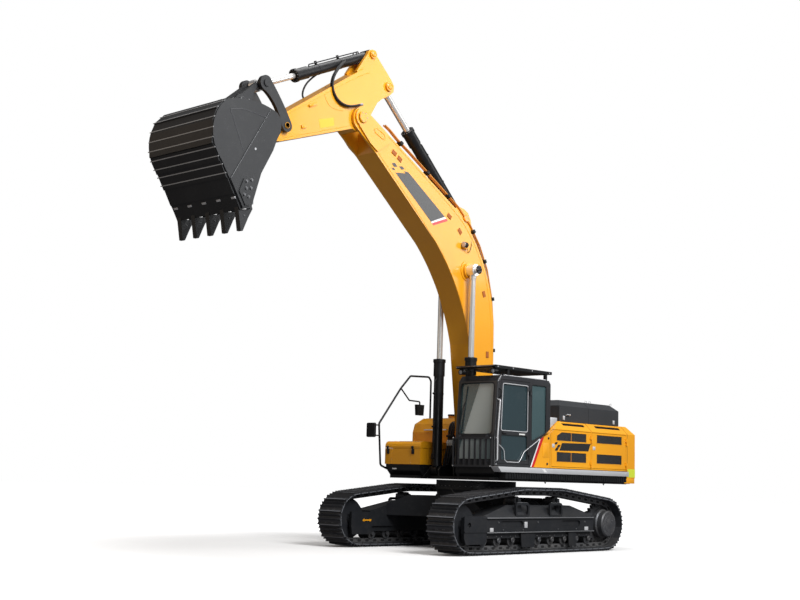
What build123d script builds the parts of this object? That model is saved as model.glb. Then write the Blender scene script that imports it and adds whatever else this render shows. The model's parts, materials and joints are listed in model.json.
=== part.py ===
"""Crawler excavator of the fifty tonne class, boom raised, bucket half curled.

Every size is in millimetres. The machine is laid out about its swing axis:
+X points to the front, +Y to the driver's side, +Z up, the ground is Z = 0.
Before it is written, each piece is moved along X so that the origin lies on the
ground below the middle of the whole machine.
"""

import os
from math import copysign, cos, hypot, pi, sin

from build123d import *

# ---------------------------------------------------------------- driving sizes
swing_axis_x = -2015.0          # swing axis, seen from the middle of the machine

# undercarriage
tumbler_x = 2210.0              # idler ahead of, sprocket behind the swing axis
tumbler_z = 526.0
track_gauge = 2740.0
shoe_width = 600.0
shoe_pitch_wanted = 216.0
pitch_radius = 415.0            # chain pins round idler and sprocket
shoe_top = 60.0                 # pin line to the outer face of a shoe
shoe_plate = 18.0
lug_height = 40.0
lug_root = 44.0
rail_depth = 55.0               # pin line to the rail the rollers run on
strand_inner = 46.0             # chain strand, from the track's middle line
strand_outer = 104.0
carrier_x = 620.0
carrier_rise = 1215.0           # lug tips above the carrier rollers
roller_count = 9
roller_span = 3300.0
track_flat = 3520.0             # length of track on the ground
roller_radius = 88.0
roller_flange = 106.0
frame_half = 215.0              # track frame, half its width
ledge_low = 385.0
ledge_high = 660.0

# slew ring and upper deck
ring_radius = 830.0
ring_low = 1120.0
deck_low = 1320.0
deck_thick = 60.0
deck_half = 1490.0
body_floor = 1590.0             # underside of cab and hood panels

# counterweight and hood
weight_front = -3145.0
weight_side = -3440.0
weight_back = -3640.0
weight_low = 1330.0
weight_shoulder = 2350.0
weight_top = 2520.0
hood_front = -395.0
hood_seam = -1815.0
hood_shoulder = 2350.0
hood_top = 2510.0
hood_shoulder_in = 1330.0       # hood top edge, from the middle plane
skin = 45.0

# cab
cab_inner = 535.0
cab_outer = deck_half
cab_rear = -390.0
cab_front = 1330.0
cab_roof = 3260.0
cab_wall = 50.0
door_front = 1215.0
door_rear = 285.0
cab_hinges = (body_floor + 260, cab_roof - 210)     # heights of the door's hinge barrels
cab_heel = (240.0, 1590.0)      # cab's rear diagonal, from its floor to its knee
cab_knee = (-150.0, 2180.0)
gap = 8.0                       # clearance round doors and lids
hinge_radius = 16.0
hinge_length = 70.0
hinge_stand = 20.0              # hinge axis, out from the panel's face

# boom, arm and bucket: pins in the side view
boom_foot = (100.0, 2100.0)
boom_cylinder_foot = (745.0, 1490.0)
boom_cylinder_eye = (725.0, 5380.0)
arm_cylinder_foot = (720.0, 6440.0)
arm_pin = (3830.0, 7760.0)
arm_cylinder_eye = (3050.0, 8550.0)
bucket_cylinder_foot = (3500.0, 9050.0)
link_pin = (5650.0, 7190.0)
link_top = (6150.0, 7810.0)
bucket_pin = (6220.0, 7000.0)
bucket_link_pin = (6660.0, 7360.0)
boom_half = 250.0
arm_half = 190.0
fork_gap = 205.0                # boom fork, inner face from the middle plane
fork_outer = 285.0
pin_gap = 6.0                   # side clearance at a pin joint
pin_slack = 1.0                 # radial clearance of a pin in its bore
boom_cylinder_y = 400.0
bucket_half = 820.0
bucket_wall = 28.0
tooth_count = 5


# ------------------------------------------------------------------ small tools
def side(y):
    """Side view plane at y: sketches use X and Z, extrude runs towards -Y."""
    return Plane.XZ.offset(-y)


def outline(plane, points):
    """Flat face with straight edges through the points."""
    with BuildSketch(plane) as flat:
        with BuildLine():
            Polyline(*points, close=True)
        make_face()
    return flat.sketch


def plate(points, y_low, y_high):
    """Plate with a side view outline, from y_low to y_high."""
    with BuildPart() as flat:
        extrude(outline(side(y_high), points), amount=y_high - y_low)
    return flat.part


def box(x, y, z):
    """Box between two limits along each axis."""
    with BuildPart() as block:
        with Locations(((x[0] + x[1]) / 2, (y[0] + y[1]) / 2, (z[0] + z[1]) / 2)):
            Box(x[1] - x[0], y[1] - y[0], z[1] - z[0])
    return block.part


def rounded(plane, points, radius):
    """Flat face with straight edges and rounded corners."""
    with BuildSketch(plane) as flat:
        add(outline(Plane.XY, points))
        fillet(flat.vertices(), radius)
    return flat.sketch


def lengthwise(x_low, x_high, y, z, radius):
    """Round bar along X."""
    with BuildPart() as bar:
        with BuildSketch(Plane.YZ.offset(x_low)):
            with Locations((y, z)):
                Circle(radius)
        extrude(amount=x_high - x_low)
    return bar.part


def crosswise(point, radius, y_low, y_high):
    """Round bar along Y about a point of the side view."""
    with BuildPart() as bar:
        with BuildSketch(side(y_high)):
            with Locations(point):
                Circle(radius)
        extrude(amount=y_high - y_low)
    return bar.part


def turned(point, y, profile):
    """Turned piece about an axle along Y: profile holds (offset along Y, radius)."""
    with BuildPart() as wheel:
        with BuildSketch(Plane.YZ.offset(point[0])):
            with BuildLine():
                Polyline(*[(y + step, point[1] + radius) for step, radius in profile], close=True)
            make_face()
        revolve(axis=Axis((point[0], 0, point[1]), (0, 1, 0)))
    return wheel.part


def strap(ends, radii, y_low, y_high):
    """Link plate: two round ends joined by their tangents."""
    with BuildPart() as link:
        with BuildSketch(side(y_high)):
            for end, radius in zip(ends, radii):
                with Locations(end):
                    Circle(radius)
            make_hull()
        extrude(amount=y_high - y_low)
    return link.part


def span(out, near, far):
    """Limits along Y between two distances from the middle plane, on the side out (1 or -1)."""
    return sorted((out * near, out * far))


def upright_hinge(x, y, heights, leaf):
    """Hinge barrels on an upright axis, each with a leaf reaching back to the panel it is welded to."""
    inner, outer = sorted((y - copysign(hinge_stand + 2, y), y))
    with BuildPart() as hinge:
        for height in heights:
            with Locations((x, y, height)):
                Cylinder(hinge_radius, hinge_length)
            add(box(sorted((x, x + leaf)), (inner, outer), (height - hinge_length / 2, height + hinge_length / 2)))
    return hinge.part


def level_hinge(point, places, leaf_to):
    """Hinge barrels on an axis along Y, each with a leaf down to the piece that carries it."""
    with BuildPart() as hinge:
        for y in places:
            add(crosswise(point, hinge_radius, y, y + hinge_length))
            add(plate([point, (point[0], point[1] - hinge_radius), leaf_to, (leaf_to[0], leaf_to[1] + hinge_radius)],
                      y, y + hinge_length))
    return hinge.part


def along(start, end, distance):
    """Point of the side view at a distance from start towards end."""
    length = hypot(end[0] - start[0], end[1] - start[1])
    return (start[0] + (end[0] - start[0]) * distance / length,
            start[1] + (end[1] - start[1]) * distance / length)


# ---------------------------------------------------------------- undercarriage
pin_line_low = shoe_top + lug_height
pin_line_carrier = carrier_rise - shoe_top - lug_height
track_y = track_gauge / 2
rail_low = pin_line_low + rail_depth

with BuildSketch() as belt:                 # loop through the chain pins, side view
    for x, z, r in ((tumbler_x, tumbler_z, pitch_radius), (-tumbler_x, tumbler_z, pitch_radius),
                    (track_flat / 2, pin_line_low + 60, 60), (-track_flat / 2, pin_line_low + 60, 60),
                    (carrier_x, pin_line_carrier - 60, 60), (-carrier_x, pin_line_carrier - 60, 60)):
        with Locations((x, z)):
            Circle(r)
    make_hull()
belt_loop = belt.face().outer_wire()
shoe_count = round(belt_loop.length / shoe_pitch_wanted)
chain_pins = [belt_loop.position_at(i / shoe_count) for i in range(shoe_count)]


def loop_side():
    """+1 if the pins run anticlockwise in the side view, else -1."""
    area = sum(a.X * b.Y - b.X * a.Y for a, b in zip(chain_pins, chain_pins[1:] + chain_pins[:1]))
    return 1 if area > 0 else -1


turn = loop_side()


def beside_link(index, share, out):
    """Point beside one link: share along it from pin to pin, out from the pin line."""
    a, b = chain_pins[index], chain_pins[(index + 1) % shoe_count]
    run = b - a
    normal = Vector(run.Y, -run.X).normalized() * turn
    point = a + run * share + normal * out
    return (point.X, point.Y)


def beside_pin(index, out):
    """Point beside one pin, square to the two links that meet there."""
    before = chain_pins[index] - chain_pins[index - 1]
    after = chain_pins[(index + 1) % shoe_count] - chain_pins[index]
    run = before.normalized() + after.normalized()
    normal = Vector(run.Y, -run.X).normalized() * turn
    point = chain_pins[index] + normal * out
    return (point.X, point.Y)


lug_places = (0.10, 0.46, 0.82)             # three lugs along each shoe
half_root = lug_root / 2 / shoe_pitch_wanted
shoe_outline = []
for link in range(shoe_count):
    for place in lug_places:
        shoe_outline += [beside_link(link, place - half_root, shoe_top),
                         beside_link(link, place, shoe_top + lug_height),
                         beside_link(link, place + half_root, shoe_top)]
plate_inside = [beside_pin(i, shoe_top - shoe_plate) for i in range(shoe_count)]
rail_line = [beside_pin(i, -rail_depth) for i in range(shoe_count)]


def mirrored(piece):
    """The same piece for the other side of the machine."""
    with BuildPart() as copy:
        mirror(piece, about=Plane.XZ)
    return copy.part


def both_hands(piece):
    """Left piece as made, right piece as its mirror image."""
    return {"left": piece, "right": mirrored(piece)}


def track(y):
    """One closed track: lugged shoes on two strands of links."""
    with BuildPart() as loop:
        with BuildSketch(side(y + shoe_width / 2)):
            with BuildLine():
                Polyline(*shoe_outline, close=True)
            make_face()
            with BuildLine():
                Polyline(*plate_inside, close=True)
            make_face(mode=Mode.SUBTRACT)
        extrude(amount=shoe_width)
        for edge in (y + strand_outer, y - strand_inner):
            with BuildSketch(side(edge)):
                with BuildLine():
                    Polyline(*plate_inside, close=True)
                make_face()
                with BuildLine():
                    Polyline(*rail_line, close=True)
                make_face(mode=Mode.SUBTRACT)
            extrude(amount=strand_outer - strand_inner)
    return loop.part


tracks = both_hands(track(track_y))

rim_radius = pitch_radius * cos(pi / 12) - rail_depth - 2.0
idler_profile = ((-150, 0), (-150, 90), (-100, 105), (-100, rim_radius), (-38, rim_radius), (-38, rim_radius + 42),
                 (38, rim_radius + 42), (38, rim_radius), (100, rim_radius), (100, 105), (150, 90), (150, 0))
idlers = both_hands(turned((tumbler_x, tumbler_z), track_y, idler_profile))

tooth_total = 24
tooth_tip = pitch_radius + 4.0
tooth_root = pitch_radius - 52.0
sprocket_plate = 36.0
drive_reach = shoe_width / 2 - 10.0          # outer face of the hub cover, from the track's middle line
drive_profile = ((-190, 0), (-190, 250), (38, 250), (38, 285), (150, 285), (175, 262), (drive_reach - 22, 258),
                 (drive_reach, 236), (drive_reach, 0))


def sprocket(y):
    """Toothed rim with the final drive in its middle; the drive's cover faces outwards."""
    points = []
    for tooth in range(tooth_total):
        for share, radius in ((-0.32, tooth_root), (-0.13, tooth_tip), (0.13, tooth_tip), (0.32, tooth_root)):
            angle = 2 * pi * (tooth + share) / tooth_total
            points.append((-tumbler_x + radius * cos(angle), tumbler_z + radius * sin(angle)))
    with BuildPart() as drive:
        extrude(outline(side(y + sprocket_plate), points), amount=2 * sprocket_plate)
        add(turned((-tumbler_x, tumbler_z), y, drive_profile))
    return drive.part


sprockets = both_hands(sprocket(track_y))

roller_profile = ((-175, 0), (-175, 38), (-132, 38), (-132, roller_flange), (-110, roller_flange),
                  (-110, roller_radius), (110, roller_radius), (110, roller_flange), (132, roller_flange),
                  (132, 38), (175, 38), (175, 0))
roller_z = rail_low + roller_radius + 1.0
carrier_radius = 75.0
carrier_z = pin_line_carrier - rail_depth - carrier_radius - 16.0
carrier_profile = ((-110, 0), (-110, carrier_radius), (110, carrier_radius), (110, 0))


def rollers(y):
    """Bottom rollers in a row and the two carrier rollers above them."""
    with BuildPart() as row:
        for number in range(roller_count):
            x = -roller_span / 2 + roller_span * number / (roller_count - 1)
            add(turned((x, roller_z), y, roller_profile))
        for x in (-carrier_x, carrier_x):
            add(turned((x, carrier_z), y, carrier_profile))
    return row.part


roller_rows = both_hands(rollers(track_y))

frame_rear = -tumbler_x + pitch_radius + 40
frame_nose = tumbler_x - 420
shelf_step = 26.0
ridge_z = 880.0
flange_in = 197.0
flange_out = 247.0


block_thick = 22.0
frame_slots = ((560.0, 1250.0), (-1300.0, -670.0))
slot_height = 115.0
slot_deep = 30.0
frame_arches = (600.0, -465.0)
arch_half = 210.0
arch_height = 270.0
arch_bar = 45.0
roller_guards = ((180.0, 620.0), (-1170.0, -900.0))
guard_foot = 115.0


def track_frame(y):
    """Side frame: box beam with two ledges, sloping top, roller guards, idler yoke and motor flange."""
    outer = y + frame_half
    section = [(y - frame_half, ledge_low), (outer + shelf_step, ledge_low), (outer + shelf_step, ledge_low + 22),
               (outer, ledge_low + 22), (outer, ledge_high - 22), (outer + shelf_step, ledge_high - 22),
               (outer + shelf_step, ledge_high), (y + frame_half * 0.35, ridge_z), (y - frame_half, ridge_z)]
    with BuildPart() as frame:
        extrude(outline(Plane.YZ.offset(frame_rear), section), amount=frame_nose - frame_rear)
        # the sloping top falls away towards both ends
        for x_end, x_in in ((frame_rear, frame_rear + 620), (frame_nose, frame_nose - 900)):
            top_cut = [(x_end, ledge_high + 20), (x_end, ridge_z + 50), (x_in, ridge_z + 50), (x_in, ridge_z)]
            extrude(outline(side(y + 400), top_cut), amount=800, mode=Mode.SUBTRACT)
        # two pedestals hold each carrier roller
        for x in (-carrier_x, carrier_x):
            for y_low, drop in ((y - 168, 60), (y + 118, 200)):
                add(plate([(x - 70, ridge_z - drop), (x + 70, ridge_z - drop), (x + 38, carrier_z + 40),
                           (x - 38, carrier_z + 40)], y_low, y_low + 50))
        # roller mounts along the underside
        for y_low in (y - 176, y + 138):
            add(box((-roller_span / 2 - 60, roller_span / 2 + 60), (y_low, y_low + 38), (roller_z + 42, ledge_low)))
        # idler yoke, one cheek on each side of the wheel
        for y_low in (y - frame_half, y + frame_half - 55):
            add(plate([(frame_nose - 60, ledge_low - 150), (tumbler_x + 60, ledge_low - 150),
                       (tumbler_x + 90, ledge_low), (tumbler_x + 90, ledge_high), (frame_nose - 60, ledge_high)],
                      y_low, y_low + 55))
        # the outer cheek carries the idler's bearing block, split by a rib
        block = rounded(side(outer + block_thick), [(frame_nose - 120, 235), (frame_nose - 60, 190), (tumbler_x + 40, 190),
                                                    (tumbler_x + 90, 300), (tumbler_x + 90, ledge_high + 25),
                                                    (frame_nose - 120, ledge_high + 25)], 18)
        extrude(block, amount=block_thick + 12)
        add(box((frame_nose - 120, tumbler_x + 90), (outer, outer + block_thick + 12), (398, 424)))
        add(crosswise((tumbler_x - 50, tumbler_z), 48, outer - 20, outer + block_thick + 10), mode=Mode.SUBTRACT)
        # long recesses in the outer face
        for start, end in frame_slots:
            with BuildSketch(side(outer + 5)):
                with Locations(((start + end) / 2, (ledge_low + ledge_high) / 2 + 20)):
                    SlotOverall(end - start, slot_height)
            extrude(amount=slot_deep + 5, mode=Mode.SUBTRACT)
        # two arches stand on the upper ledge, two guards hang beside the rollers
        for x in frame_arches:
            with BuildSketch(side(outer + 20)):
                with Locations((x, ledge_high + arch_height / 2)):
                    RectangleRounded(2 * arch_half, arch_height, 70)
                    RectangleRounded(2 * (arch_half - arch_bar), arch_height - 2 * arch_bar, 40, mode=Mode.SUBTRACT)
            extrude(amount=40)
        for start, end in roller_guards:
            add(plate([(start, ledge_low + 10), (start + 25, guard_foot), (end - 25, guard_foot), (end, ledge_low + 10)],
                      outer - 22, outer))
        # motor flange on the inner side of the final drive
        add(box((frame_rear - 40, frame_rear + 260), (y - flange_out, y - 150), (ledge_low, ledge_high)))
        add(plate([(frame_rear + 20, ledge_low), (frame_rear + 20, ledge_high), (-tumbler_x, tumbler_z + 240),
                   (-tumbler_x - 150, tumbler_z + 100), (-tumbler_x - 150, tumbler_z - 100), (-tumbler_x, tumbler_z - 240)],
                  y - flange_out, y - flange_in))
    return frame.part


track_frames = both_hands(track_frame(track_y))

leg_low = 600.0
leg_high = 1000.0
tow_eye_x = 960.0
tow_eye_low = 675.0
tow_eye_thick = 50.0
tow_eye_bore = 38.0
tow_eye_half = 85.0
with BuildPart() as car_body:
    with BuildSketch(Plane.XY.offset(leg_low)):
        with BuildLine():
            Polyline((1330, track_y - frame_half), (880, track_y - frame_half), (620, 560), (-620, 560),
                     (-880, track_y - frame_half), (-1330, track_y - frame_half), (-800, 0),
                     (-1330, -track_y + frame_half), (-880, -track_y + frame_half), (-620, -560), (620, -560),
                     (880, -track_y + frame_half), (1330, -track_y + frame_half), (800, 0), close=True)
        make_face()
    extrude(amount=leg_high - leg_low)
    # the legs' top faces slope down to the track frames
    for out in (1, -1):
        with BuildSketch(Plane.YZ.offset(-1500)):
            with BuildLine():
                Polyline((out * 700, leg_high + 60), (out * 760, leg_high), (out * (track_y - frame_half), ridge_z - 60),
                         (out * (track_y + 50), ridge_z - 60), (out * (track_y + 50), leg_high + 60), close=True)
            make_face()
        extrude(amount=3000, mode=Mode.SUBTRACT)
    with BuildSketch(Plane.XY.offset(leg_low - 40)):
        Circle(ring_radius - 60)
    extrude(amount=ring_low - leg_low + 40)
    # towing eyes: flat lugs with an upright bore, one at the front and one at the rear
    for out in (1, -1):
        with BuildSketch(Plane.XY.offset(tow_eye_low)):
            with Locations((out * tow_eye_x, 0)):
                Circle(tow_eye_half)
            with Locations((out * (tow_eye_x - 150), 0)):
                Rectangle(300, 2 * tow_eye_half)
            with Locations((out * tow_eye_x, 0)):
                Circle(tow_eye_bore, mode=Mode.SUBTRACT)
        extrude(amount=tow_eye_thick)

ring_high = deck_low - 12.0
with BuildPart() as slew_ring:
    with BuildSketch(Plane.XY.offset(ring_low)):
        Circle(ring_radius)
    extrude(amount=70)
    with BuildSketch(Plane.XY.offset(ring_low + 70)):
        Circle(ring_radius - 45)
    extrude(amount=ring_high - ring_low - 70)

# ------------------------------------------------------------------- upper body
deck_rear = weight_front
deck_nose = 1060.0
tank_front = 250.0
boom_lug_in = boom_half + pin_gap
boom_lug_out = boom_lug_in + 40.0
foot_pin_radius = 75.0
ram_eye_half = 70.0             # boom cylinder's foot eye, half its width
ram_tube = 98.0
ram_lug_in = boom_cylinder_y + ram_tube + pin_gap
ram_lug_out = ram_lug_in + 34.0
nose_x = 840.0                  # deck's front edge between cab and toolbox
with BuildPart() as deck:
    # bottom plate, cut back between the cab and the toolbox
    with BuildSketch(Plane.XY.offset(deck_low)):
        with BuildLine():
            Polyline((deck_rear, -deck_half + 40), (deck_nose - 120, -deck_half + 40), (deck_nose, -deck_half + 150),
                     (deck_nose, -600), (nose_x, -560), (nose_x, 560), (cab_front - 20, 600), (cab_front - 20, cab_outer - 120),
                     (cab_front - 140, cab_outer - 20), (deck_rear, deck_half - 20), close=True)
        make_face()
    extrude(amount=deck_thick)
    # edge beams, set in below the panels
    for y_low, y_high in ((-deck_half + 60, -deck_half + 220), (deck_half - 240, deck_half - 40)):
        add(box((deck_rear, deck_nose - 140), (y_low, y_high), (deck_low + deck_thick, body_floor - 110)))
    for out in (1, -1):
        # main plates carry the boom foot and run back to the counterweight
        add(plate([(deck_rear + skin, deck_low), (boom_cylinder_foot[0] + 82, deck_low),
                   (boom_cylinder_foot[0] + 82, 1500), (boom_cylinder_foot[0] + 40, 1565), (560, 1600), (330, 2120),
                   (230, 2270), (60, 2310), (-120, 2230), (-420, 1900), (-1500, 1700), (deck_rear + skin, 1700)],
                  *span(out, boom_lug_in, boom_lug_out)))
        # outer lug, bosses and pin of the boom cylinder's foot
        add(plate([(480, deck_low), (1040, deck_low), (830, 1500), (785, 1565), (700, 1565), (620, 1500)],
                  *span(out, ram_lug_in, ram_lug_out)))
        inner_face = boom_cylinder_y - ram_eye_half - pin_gap
        outer_face = boom_cylinder_y + ram_eye_half + pin_gap
        add(crosswise(boom_cylinder_foot, 68, *span(out, boom_lug_out - 5, inner_face)))
        add(crosswise(boom_cylinder_foot, 68, *span(out, outer_face, ram_lug_in)))
        add(crosswise(boom_cylinder_foot, 50, *span(out, boom_lug_out - 10, ram_lug_in + 20)))
    # closed boxes below the cab and below the toolbox
    add(plate([(cab_rear, deck_low + deck_thick), (cab_front - 80, deck_low + deck_thick), (cab_front - 20, deck_low + 130),
               (cab_front - 20, body_floor), (cab_rear, body_floor)], cab_inner + 15, deck_half - 30))
    add(plate([(tank_front + 50, deck_low + deck_thick), (deck_nose - 90, deck_low + deck_thick),
               (deck_nose, deck_low + 150), (deck_nose, body_floor), (tank_front + 50, body_floor)],
              -deck_half + 70, -560))
    # boom foot pin from main plate to main plate
    add(crosswise(boom_foot, foot_pin_radius, -boom_lug_out - 30, boom_lug_out + 30))

def weight_slice(z, inset, bulge):
    """Plan outline of the counterweight: straight front, bowed back."""
    with BuildSketch(Plane.XY.offset(z)) as plan:
        with BuildLine():
            half = deck_half - inset
            back = weight_side + inset * 0.6
            Polyline((back, -half), (weight_front, -half), (weight_front, half), (back, half))
            ThreePointArc((back, half), (back - bulge, 0), (back, -half))
        make_face()
    return plan.sketch


with BuildPart() as counterweight:
    extrude(weight_slice(weight_low + 120, 0, weight_side - weight_back), amount=weight_shoulder - weight_low - 120)
    loft([weight_slice(weight_low, 90, 150).face(), weight_slice(weight_low + 120, 0, weight_side - weight_back).face()])
    loft([weight_slice(weight_shoulder, 0, weight_side - weight_back).face(),
          weight_slice(weight_top, 170, 140).face()])
    # lifting eyes: a slot on each side leaves a bored lug standing in the top
    for out in (1, -1):
        add(box((-3430, -3250), span(out, 760, 800), (weight_top - 30, weight_top + 110)))
    for out in (1, -1):
        with BuildSketch(side(820 if out > 0 else -740)):
            with Locations((-3340, weight_top + 48)):
                Circle(34)
        extrude(amount=80, mode=Mode.SUBTRACT)

hood_outer = [(-deck_half, body_floor), (-deck_half, hood_shoulder), (-hood_shoulder_in, hood_top),
              (hood_shoulder_in, hood_top), (deck_half, hood_shoulder), (deck_half, body_floor)]
hood_inner = [(-deck_half + skin, body_floor), (-deck_half + skin, hood_shoulder - skin / 2),
              (-hood_shoulder_in + skin / 2, hood_top - skin), (hood_shoulder_in - skin / 2, hood_top - skin),
              (deck_half - skin, hood_shoulder - skin / 2), (deck_half - skin, body_floor)]
cover_front = -960.0
cover_rear = -3100.0
cover_low_y = -760.0
cover_high_y = 1300.0
cover_top = 2950.0
cover_crease = 2830.0
cover_skin = 30.0
frame_lip = 70.0
door_low = body_floor + 25.0
door_high = hood_shoulder - 15.0
door_post = 15.0                # half the post between the two left doors
hood_doors = {                   # name: (front x, rear x, which side)
    "hood_door_left_front": (hood_front - skin, hood_seam + door_post, 1),
    "hood_door_left_rear": (hood_seam - door_post, weight_front + skin, 1),
    "hood_door_right": (hood_front - 900, weight_front + skin, -1),
}
door_hinges = (door_low + 110, door_high - 110)
slope_run = 405.0               # the hood's front top slopes up over this length
slope_foot = 2245.0
vent_strips = ((-1700.0, -935.0), (-3000.0, -2080.0))
cover_axis = (cover_front + 30, hood_top + 65)
tank_rear = -935.0
cover_hinges = (-300.0, 900.0)
panel_gap = 28.0


def hood_form(section, inset):
    """Hood's form between two cross walls, its front top sloping down towards the cab."""
    front = hood_front - inset
    with BuildPart() as form:
        extrude(outline(Plane.YZ.offset(weight_front + inset), section), amount=front - weight_front - inset)
        slope = [(front + 10, slope_foot - inset), (front, slope_foot - inset), (front - slope_run, hood_top + 1 - inset),
                 (front - slope_run, hood_top + 50), (front + 10, hood_top + 50)]
        extrude(outline(side(deck_half + 10), slope), amount=2 * deck_half + 20, mode=Mode.SUBTRACT)
    return form.part


with BuildPart() as hood_shell:
    add(hood_form(hood_outer, 0))
    add(hood_form(hood_inner, skin), mode=Mode.SUBTRACT)
    # side panel between the hood and the cab's rear diagonal
    add(plate([(hood_front - skin, body_floor), (cab_heel[0] - panel_gap, body_floor), (cab_knee[0] - panel_gap, cab_knee[1] - 20),
               (hood_front, slope_foot), (hood_front - skin, slope_foot)], deck_half - skin, deck_half))
    # the right front quarter belongs to the tanks
    add(box((tank_rear, hood_front + 50), (-deck_half - 10, -480), (body_floor - 10, hood_top + 10)), mode=Mode.SUBTRACT)
    add(box((tank_rear - skin, tank_rear), (-deck_half + 10, -480), (body_floor, hood_top - 200)))
    # engine opening in the top, under the black cover
    add(box((cover_rear + frame_lip, cover_front - frame_lip), (cover_low_y + frame_lip, cover_high_y - 130 - frame_lip),
            (hood_top - skin - 40, hood_top + 10)), mode=Mode.SUBTRACT)
    # the deck's main plates pass under the front wall
    add(box((hood_front - skin - 10, hood_front + 10), (-boom_lug_out - 30, boom_lug_out + 30), (body_floor - 10, 1960)),
        mode=Mode.SUBTRACT)
    for front, rear, out in hood_doors.values():
        add(box((rear, front), span(out, deck_half - skin - 10, deck_half + 10), (door_low, door_high)), mode=Mode.SUBTRACT)
        add(upright_hinge(rear, out * (deck_half + hinge_stand), [z - hinge_length - 2 for z in door_hinges], -2 * door_post / 3))
    # long vents let into both shoulders
    for out in (1, -1):
        for rear, front in vent_strips:
            if out > 0 or front < tank_rear - skin:
                add(box((rear, front), span(out, hood_shoulder_in + 22, deck_half), (hood_top - 80, hood_top)),
                    mode=Mode.SUBTRACT)
    # carriers of the engine cover's hinge
    add(level_hinge(cover_axis, [y + hinge_length + 2 for y in cover_hinges], (cover_axis[0] + 30, hood_top - 5)))

grille_inset = 165.0             # from the door's ends to its grilles
grille_rows = ((body_floor + 120, body_floor + 325), (hood_shoulder - 235, hood_shoulder - 50))
slat_count = 5
slat_half = 8.0
slat_deep = 7.0                  # slats lie this far below the door's faces


def hood_door(front, rear, out):
    """Side door with two louvred windows; each louvre is a slat across the window."""
    y_low, y_high = span(out, deck_half - skin, deck_half)
    with BuildPart() as door:
        add(box((rear + gap, front - gap), (y_low, y_high), (door_low + gap, door_high - gap)))
        # the front top corner follows the hood's slope
        corner = [(hood_front + 5, slope_foot - gap), (hood_front + 5, hood_top), (hood_front - slope_run, hood_top),
                  (hood_front - slope_run, hood_top - gap)]
        add(plate(corner, y_low - 5, y_high + 5), mode=Mode.SUBTRACT)
        for z_low, z_high in grille_rows:
            window = [(rear + grille_inset, z_low), (front - grille_inset, z_low), (front - grille_inset, z_high),
                      (rear + grille_inset, z_high)]
            if out > 0 and front > hood_seam and z_high > slope_foot:
                window[2:3] = [(front - grille_inset, slope_foot - 20), (front - 2 * grille_inset, z_high)]
            add(plate(window, y_low - 10, y_high + 10), mode=Mode.SUBTRACT)
            for slat in range(slat_count):
                z = z_low + (z_high - z_low) * (slat + 0.5) / slat_count
                lift = max(0, z + slat_half - slope_foot) if len(window) > 4 else 0
                add(box((rear + grille_inset - 5, front - grille_inset + 5 - 2.5 * lift), (y_low + slat_deep, y_high - slat_deep),
                        (z - slat_half, z + slat_half)))
        add(upright_hinge(rear, out * (deck_half + hinge_stand), door_hinges, 45))
    return door.part


side_doors = {name: hood_door(*place) for name, place in hood_doors.items()}

cover_foot = hood_top + gap


def cover_form(wall):
    """Engine cover's outer form, drawn in by a wall on every side but the foot."""
    low, high, crease, top = cover_low_y + wall, cover_high_y - wall, cover_crease - wall, cover_top - wall
    with BuildPart() as form:
        section = [(low, cover_foot), (low, crease), (low + 130, top), (high - 130, top), (high, crease), (high, cover_foot)]
        extrude(outline(Plane.YZ.offset(cover_rear + wall), section), amount=cover_front - cover_rear - 2 * wall)
        for end, way in ((cover_rear + wall, 1), (cover_front - wall, -1)):
            slope = [(end, crease), (end, top + 50), (end + way * 150, top + 50), (end + way * 150, top)]
            extrude(outline(side(deck_half), slope), amount=2 * deck_half, mode=Mode.SUBTRACT)
    return form.part


with BuildPart() as engine_cover:
    add(cover_form(0))
    add(cover_form(cover_skin), mode=Mode.SUBTRACT)
    add(level_hinge(cover_axis, cover_hinges, (cover_front - 10, cover_axis[1] - hinge_radius)))

with BuildPart() as engine_block:
    add(box((-2700, -1500), (-620, 900), (1700, 2380)))
    for edge in engine_block.edges().filter_by(Axis.X).group_by(Axis.Z)[-1]:
        chamfer(edge, 90)

box_front = deck_nose
box_top = 2040.0
box_split = 1900.0
lid_axis = (tank_front + gap + 22, box_top + hinge_radius + 3)
lid_hinges = (-1350.0, -850.0)
with BuildPart() as fuel_tank:
    add(plate([(tank_rear + gap, body_floor), (tank_front, body_floor), (tank_front, 2250), (tank_front - 60, 2420),
               (tank_front - 190, 2540), (tank_rear + gap, 2540)], -deck_half, -500))
    chamfer(fuel_tank.edges().filter_by(Axis.X).group_by(Axis.Z)[-1].sort_by(Axis.Y)[0], 120)
    # filler neck, and the carriers of the toolbox lid's hinge
    with Locations((-300, -900, 2540 + 30)):
        Cylinder(85, 70)
    for y in lid_hinges:
        add(crosswise(lid_axis, hinge_radius, y + hinge_length + 2, y + 2 * hinge_length + 2))
        add(box((tank_front - 5, lid_axis[0]), (y + hinge_length + 2, y + 2 * hinge_length + 2), (lid_axis[1], lid_axis[1] + hinge_radius)))

with BuildPart() as toolbox:
    add(plate([(tank_front + gap, body_floor), (box_front, body_floor), (box_front, box_split), (tank_front + gap, box_split)],
              -deck_half, -560))
    add(box((tank_front + gap + 30, box_front - 30), (-deck_half + 30, -590), (body_floor + 30, box_split + 10)),
        mode=Mode.SUBTRACT)
with BuildPart() as toolbox_lid:
    add(plate([(tank_front + gap, box_split + gap), (box_front, box_split + gap), (box_front, box_top - 95),
               (box_front - 14, box_top - 48), (box_front - 42, box_top - 16), (box_front - 88, box_top),
               (tank_front + gap, box_top)], -deck_half, -560))
    add(level_hinge(lid_axis, lid_hinges, (lid_axis[0] + 35, box_top - 5)))
    add(box((tank_front + gap + 30, box_front - 30), (-deck_half + 30, -590), (box_split - 10, box_top - 95)), mode=Mode.SUBTRACT)

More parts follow.
